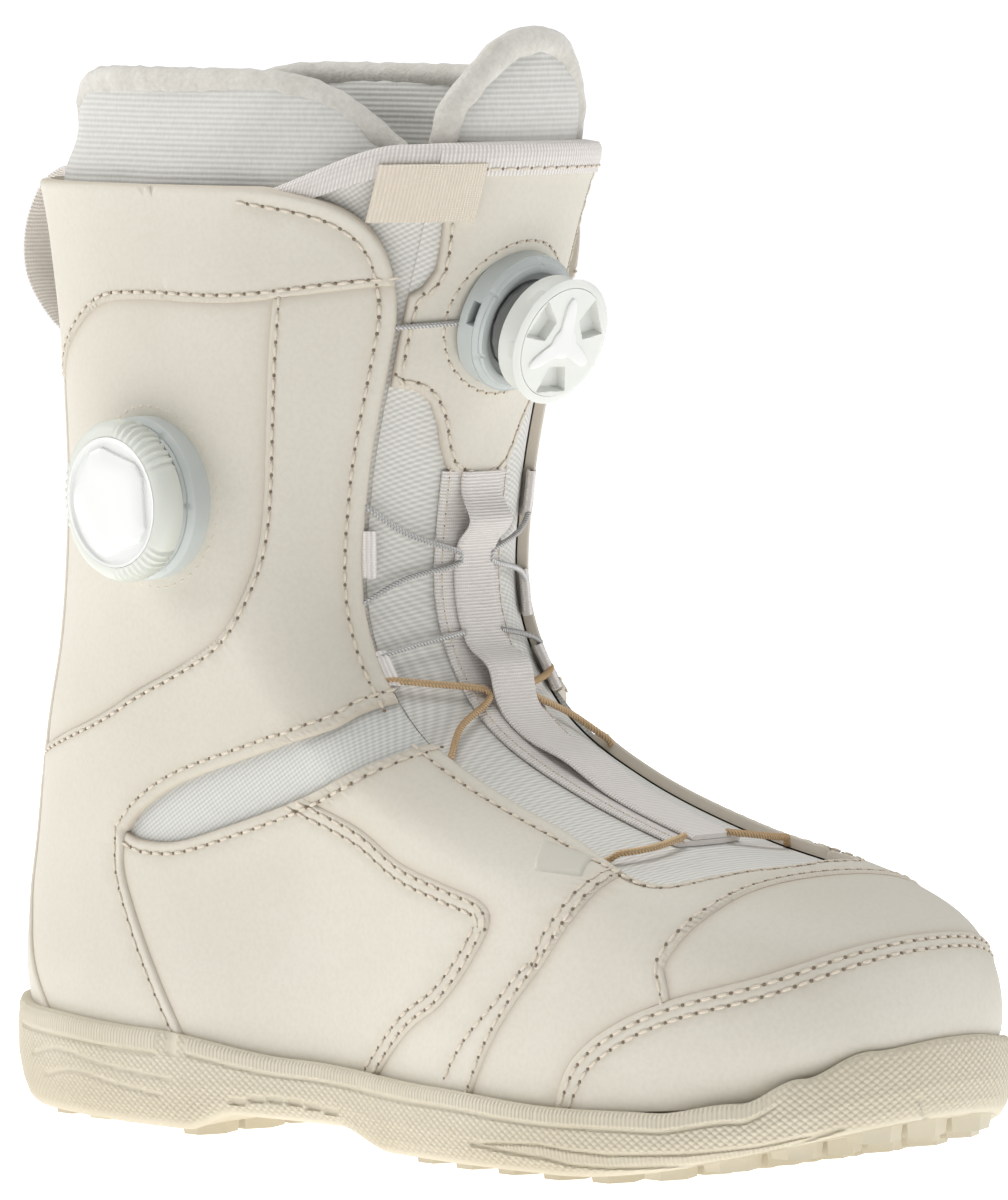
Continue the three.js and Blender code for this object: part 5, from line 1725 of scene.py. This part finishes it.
LINER_TOP = [(110, 226), (92, 230), (80, 235), (73, 243), (66, 250), (57, 254.5), (46, 256), (-22, 256), (-33, 254.5),
             (-40, 250), (-44, 243), (-50, 238), (-90, 234)]
CUFF_THICK, CUFF_INSET = 8.0, 1.6
CUFF_EDGE = 30.5  # how far from the middle of the boot each cuff starts
CUFF_FOOT = 7.1  # station at its lower edge
ROLL_RADIUS, ROLL_SIDES, ROLL_STEP = 3.5, 20, 2.0
HEEL_TURN = math.pi - 0.004  # the cuffs stop just short of each other
VOXEL, AIR_PRESSURE, FILL_STEPS = 0.004, 4.0, 20


def liner_depth(z):
    return 5.2 + 3.5 * smoothstep(z, 219, 239)


def soft_body(name, outer, inner):
    """A closed pad from two facing grids of points in mm."""
    piece = add_piece(name, plate_points(outer, inner), plate_faces(*outer.shape[:2]))
    mesh = piece.data
    tidy = bmesh.new()
    tidy.from_mesh(mesh)
    bmesh.ops.recalc_face_normals(tidy, faces=tidy.faces)
    tidy.to_mesh(mesh)
    tidy.free()
    return piece


def apply_modifiers(piece):
    made = bpy.data.meshes.new_from_object(piece.evaluated_get(bpy.context.evaluated_depsgraph_get()))
    piece.modifiers.clear()
    piece.data = made


def relaxed(path, times):
    """A line with its corners eased, its ends left where they are."""
    path = path.copy()
    for _ in range(times):
        path[1:-1] = (path[:-2] + 2 * path[1:-1] + path[2:]) / 4
    return path


def point_values(mesh, label):
    values = np.empty(len(mesh.vertices) * 3, np.float32)
    mesh.vertices.foreach_get(label, values)
    return values.reshape(-1, 3)


def filled(piece, most):
    """Foam pushed into the cover: air pressure swells the mesh, and no point moves further than most, in metres."""
    remesh = piece.modifiers.new("even faces", "REMESH")
    remesh.mode = "VOXEL"
    remesh.voxel_size = VOXEL
    apply_modifiers(piece)
    start_mesh = piece.data
    start, facing_out = point_values(start_mesh, "co"), point_values(start_mesh, "normal")
    cloth = piece.modifiers.new("filling", "CLOTH")
    cloth.settings.use_pressure = True
    cloth.settings.uniform_pressure_force = AIR_PRESSURE
    cloth.settings.effector_weights.gravity = 0
    cloth.settings.quality = 5
    cloth.point_cache.frame_start, cloth.point_cache.frame_end = 1, FILL_STEPS
    for frame_number in range(1, FILL_STEPS + 1):
        bpy.context.scene.frame_set(frame_number)
    apply_modifiers(piece)
    moved = point_values(piece.data, "co") - start
    moved = facing_out * np.maximum((moved * facing_out).sum(1, keepdims=True), 0.0)
    far = np.linalg.norm(moved, axis=1, keepdims=True)
    moved = moved * np.minimum(1, most / np.maximum(far, 1e-9))
    piece.data.vertices.foreach_set("co", (start + moved).ravel())
    bpy.context.scene.frame_set(1)
    smooth = piece.modifiers.new("even out", "SMOOTH")
    smooth.iterations = 3
    smooth.factor = 0.5
    round_off = piece.modifiers.new("round off", "SUBSURF")
    round_off.levels = round_off.render_levels = 1
    apply_modifiers(piece)
    piece.data.shade_smooth()


def add_knit_finish():
    """Pale ribbed knit: fine wales up and down and soft cross ridges."""
    finish = Finish("liner_knit", Roughness=0.85, Sheen_Weight=0.25, Sheen_Roughness=0.5, Specular_IOR_Level=0.2)
    place = finish.place()
    z = finish.node("ShaderNodeSeparateXYZ", {}, {"Vector": place}, output="Z")
    cloud = finish.noise(place, 45, 3)
    course = finish.sum("SINE", z * (2 * math.pi / 0.0013) + cloud * 2.0) * 0.5 + 0.5
    band = finish.sum("SINE", z * (2 * math.pi / 0.0062) + cloud) * 0.5 + 0.5
    grain = finish.noise(finish.mapped(place, (1, 1, 0.4)), 1300, 3)
    yarn = course * 0.5 + grain * 0.6
    finish.colour(finish.mix(finish.between(yarn, 0.2, 0.9), (0.54, 0.53, 0.495, 1), (0.70, 0.695, 0.66, 1)))
    finish.bump(yarn * 0.7 + band * 0.5, 0.00045, 0.55)
    return finish.material


def add_fleece_finish():
    """Brushed fleece: short curled pile."""
    finish = Finish("liner_fleece", Roughness=0.95, Sheen_Weight=0.45, Sheen_Roughness=0.4, Specular_IOR_Level=0.12)
    place = finish.place()
    pile = finish.noise(place, 700, 4, 0.7)
    clump = finish.noise(place, 140, 3)
    finish.colour(
        finish.mix(finish.between(pile * 0.6 + clump * 0.4, 0.3, 0.7), (0.55, 0.525, 0.47, 1), (0.73, 0.71, 0.66, 1))
    )
    finish.bump(pile * 0.7 + clump * 0.6, 0.0009, 0.7)
    return finish.material


knit, fleece = add_knit_finish(), add_fleece_finish()
top_x, top_z = np.array(LINER_TOP).T[:, ::-1]
above = np.linspace(7.0, TOP, 260)
for side in (LATERAL, MEDIAL):
    columns, rows_count = 64, 44
    share = np.linspace(0, 1, columns)
    rim = np.empty(columns)
    start_turn = front_turn(above, np.full(len(above), side * CUFF_EDGE))
    for j, s in enumerate(share):
        turn = start_turn * (1 - s) + side * HEEL_TURN * s
        at = skin(above, turn)
        over = at[:, 2] - np.interp(at[:, 0], top_x, top_z)
        rim[j] = np.interp(0, over, above)
    rim -= 0.06
    t = CUFF_FOOT + (rim[None] - CUFF_FOOT) * np.linspace(0, 1, rows_count)[:, None]
    turn = front_turn(t, np.full(t.shape, side * CUFF_EDGE)) * (1 - share) + side * HEEL_TURN * share
    z = skin(t, turn)[..., 2]
    outer = lifted(t, turn, -liner_depth(z) - CUFF_INSET)
    inner = lifted(t, turn, -liner_depth(z) - CUFF_THICK + CUFF_INSET)
    label = SIDE_NAMES[side]
    cuff = soft_body(f"liner_cuff_{label}_pad", outer, inner)
    filled(cuff, 0.0032)
    dress(cuff, knit)
    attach(cuff, "shell")
    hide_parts(f"liner_cuff_{label}")
    line_t = np.concatenate([CUFF_FOOT + (rim[0] - CUFF_FOOT) * np.linspace(0.2, 1, 40)[:-1], rim])
    line_s = np.concatenate([np.zeros(39), share])
    line_start = front_turn(line_t, np.full(len(line_t), side * CUFF_EDGE))
    line_turn = line_start * (1 - line_s) + side * HEEL_TURN * line_s
    line_z = skin(line_t, line_turn)[:, 2]
    path = lifted(line_t - 0.09, line_turn, -liner_depth(line_z) - CUFF_THICK / 2)
    path = even(relaxed(path, 14), ROLL_STEP)

    def fuzzy(along, turn):
        return ROLL_RADIUS + 0.12 * np.sin(along * 2.1 + 3 * turn) + 0.1 * np.sin(along * 0.7 - 2 * turn)

    roll = tube(f"liner_cuff_{label}_edge", path, fuzzy, ROLL_SIDES)
    dress(roll, fleece)
    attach(roll, "shell")


# ---- Liner tongue ----
# The padded tongue of the inner boot lies under the tongue of the boot and swings out with it. Knit on both faces,
# with the same rolled fleece edge round its top.

LINER_TONGUE_TOP = 266
tongue_rows = np.linspace(4.5, station_at(LINER_TONGUE_TOP - 3.5), 90)
front_z = skin(tongue_rows, 0.0)[:, 2]
half = 27.0 * (1 - 0.30 * np.clip((front_z - 244) / 20, 0, 1) ** 3)
share = np.linspace(-1, 1, 26)
y = half[:, None] * share
t = np.broadcast_to(tongue_rows[:, None], y.shape)
turn = front_turn(t, y)
droop = 0.35 * smoothstep(front_z, 245, 262)[:, None] * share ** 4
pad = soft_body("liner_tongue_pad", lifted(t - droop, turn, -6.0 + 0 * y), lifted(t - droop, turn, -10.4 + 0 * y))
filled(pad, 0.003)
dress(pad, knit)
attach(pad, "liner_tongue")
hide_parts("liner_tongue")
side_t = tongue_rows[30:]
ends = half[30:]
path_t = np.concatenate([side_t, np.full(21, tongue_rows[-1]), side_t[::-1]])
path_y = np.concatenate([-ends, np.linspace(-1, 1, 23)[1:-1] * ends[-1], ends[::-1]])
fall = 0.35 * smoothstep(skin(path_t, 0.0)[:, 2], 245, 262) * (path_y / np.interp(path_t, tongue_rows, half)) ** 4
path = lifted(path_t - fall - 0.05, front_turn(path_t, path_y * 0.97), np.full(len(path_t), -8.2))
edge_roll = tube("liner_tongue_edge", even(relaxed(path, 16), ROLL_STEP), fuzzy, ROLL_SIDES)
dress(edge_roll, fleece)
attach(edge_roll, "liner_tongue")


# ---- Inside the boot ----
# The liner's foot is a stitched sock of the same knit; under it lie a moulded foam footbed, a heel cushion and the
# lasting board. Heel and toe are stiffened with pressed fibre inside the leather.

def add_plain_finish(name, tone, dark, scale, depth, rough):
    finish = Finish(name, Specular_IOR_Level=0.3)
    place = finish.place()
    grain = finish.noise(place, scale, 4, 0.6)
    cloud = finish.noise(place, 30, 2)
    finish.colour(finish.mix(finish.between(grain * 0.6 + cloud * 0.4, 0.3, 0.7), dark, tone))
    finish.rough(rough + grain * 0.1)
    finish.bump(grain, depth, 0.5)
    return finish.material


fibre = add_plain_finish("pressed_fibre", (0.42, 0.34, 0.25, 1), (0.28, 0.22, 0.15, 1), 900, 0.0002, 0.8)
foam = add_plain_finish("moulded_foam", (0.62, 0.60, 0.55, 1), (0.48, 0.46, 0.42, 1), 1500, 0.0001, 0.8)
for material, names in ((fibre, ("heel_counter", "toe_puff", "lasting_board")), (foam, ("footbed", "heel_cushion")),
                        (knit, ("liner_foot",))):
    for name in names:
        give_finish(name, material)


# ---- Pull loop ----
# A loop of wide grosgrain webbing to pull the boot on by. Both ends are tucked under the back of the collar and sewn
# through; in between it stands off the leather, far enough for a finger.

LOOP = [
    (1.0, 226), (-3, 228.6), (-7, 228.2), (-12.5, 224.5), (-17.2, 216), (-18.2, 207), (-15.5, 199.5), (-8, 191.5),
    (1.5, 186.5)
]
LOOP_HALF, LOOP_THICK = 12.0, 1.7
back_t = np.linspace(7, TOP, 200)
back = np.interp(219, skin(back_t, math.pi)[:, 2], skin(back_t, math.pi)[:, 0]) - 0.6
loop_line = curve_through(np.array(LOOP, float), 0.8) + (back, 0)
ahead = unit(np.gradient(loop_line, axis=0))
aside = np.stack([-ahead[:, 1], ahead[:, 0]], 1)
width = np.linspace(-LOOP_HALF, LOOP_HALF, 22)
thin = np.sqrt(np.clip(1 - (np.abs(width) / LOOP_HALF) ** 8, 0.04, 1))
grid = np.zeros((2, len(loop_line), len(width), 3))
for k, sign in enumerate((1, -1)):
    place = loop_line[:, None] + sign * aside[:, None] * LOOP_THICK / 2 * thin[None, :, None]
    grid[k, ..., 0], grid[k, ..., 1], grid[k, ..., 2] = place[..., 0], width[None], place[..., 1]
loop = soft_body("pull_loop_webbing", grid[0], grid[1])
run = measured(loop_line)
for label, value in (("along", np.repeat(run, len(width))), ("across", np.tile(width, len(run)))):
    kept = loop.data.attributes.new(label, "FLOAT", "POINT")
    kept.data.foreach_set("value", (np.tile(value, 2) * MM).astype(np.float32))
loop.data.set_sharp_from_angle(angle=math.radians(60))
dress(loop, grosgrain)
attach(loop, "shell")
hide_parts("pull_loop")


# ---- Side tab ----
# A small plain tab of moulded rubber, about 18 mm long. It is stuck to the outer quarter beside the foot of the
# throat, and its rim is rounded over.

TAB_CORNERS = [(125.0, 79.0), (140.0, 75.4), (143.0, 71.4), (130.6, 72.4)]  # in side view
a, b, c, d = (np.array(corner) for corner in TAB_CORNERS)
u, v = np.meshgrid(np.linspace(0, 1, 26), np.linspace(0, 1, 14), indexing="ij")
place = (a * ((1 - u) * (1 - v))[..., None] + b * (u * (1 - v))[..., None] + c * (u * v)[..., None]
         + d * ((1 - u) * v)[..., None])
at = locate(place.reshape(-1, 2), [0, 2], on_side(LATERAL))
t, turn = at.T
rim = np.minimum(np.minimum(u, 1 - u) * 26, np.minimum(v, 1 - v) * 14).ravel()
rise = 1.1 * np.clip(rim / 2.2, 0, 1) ** 0.5
tab_face = lifted(t, turn, rise).reshape(26, 14, 3)
tab_back = lifted(t, turn, np.full(len(t), -0.6)).reshape(26, 14, 3)
side_tab = soft_body("side_tab", tab_face, tab_back)
dress(side_tab, add_moulded_finish("side_tab_rubber", (0.58, 0.555, 0.48, 1), 0.4))
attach(side_tab, "shell")
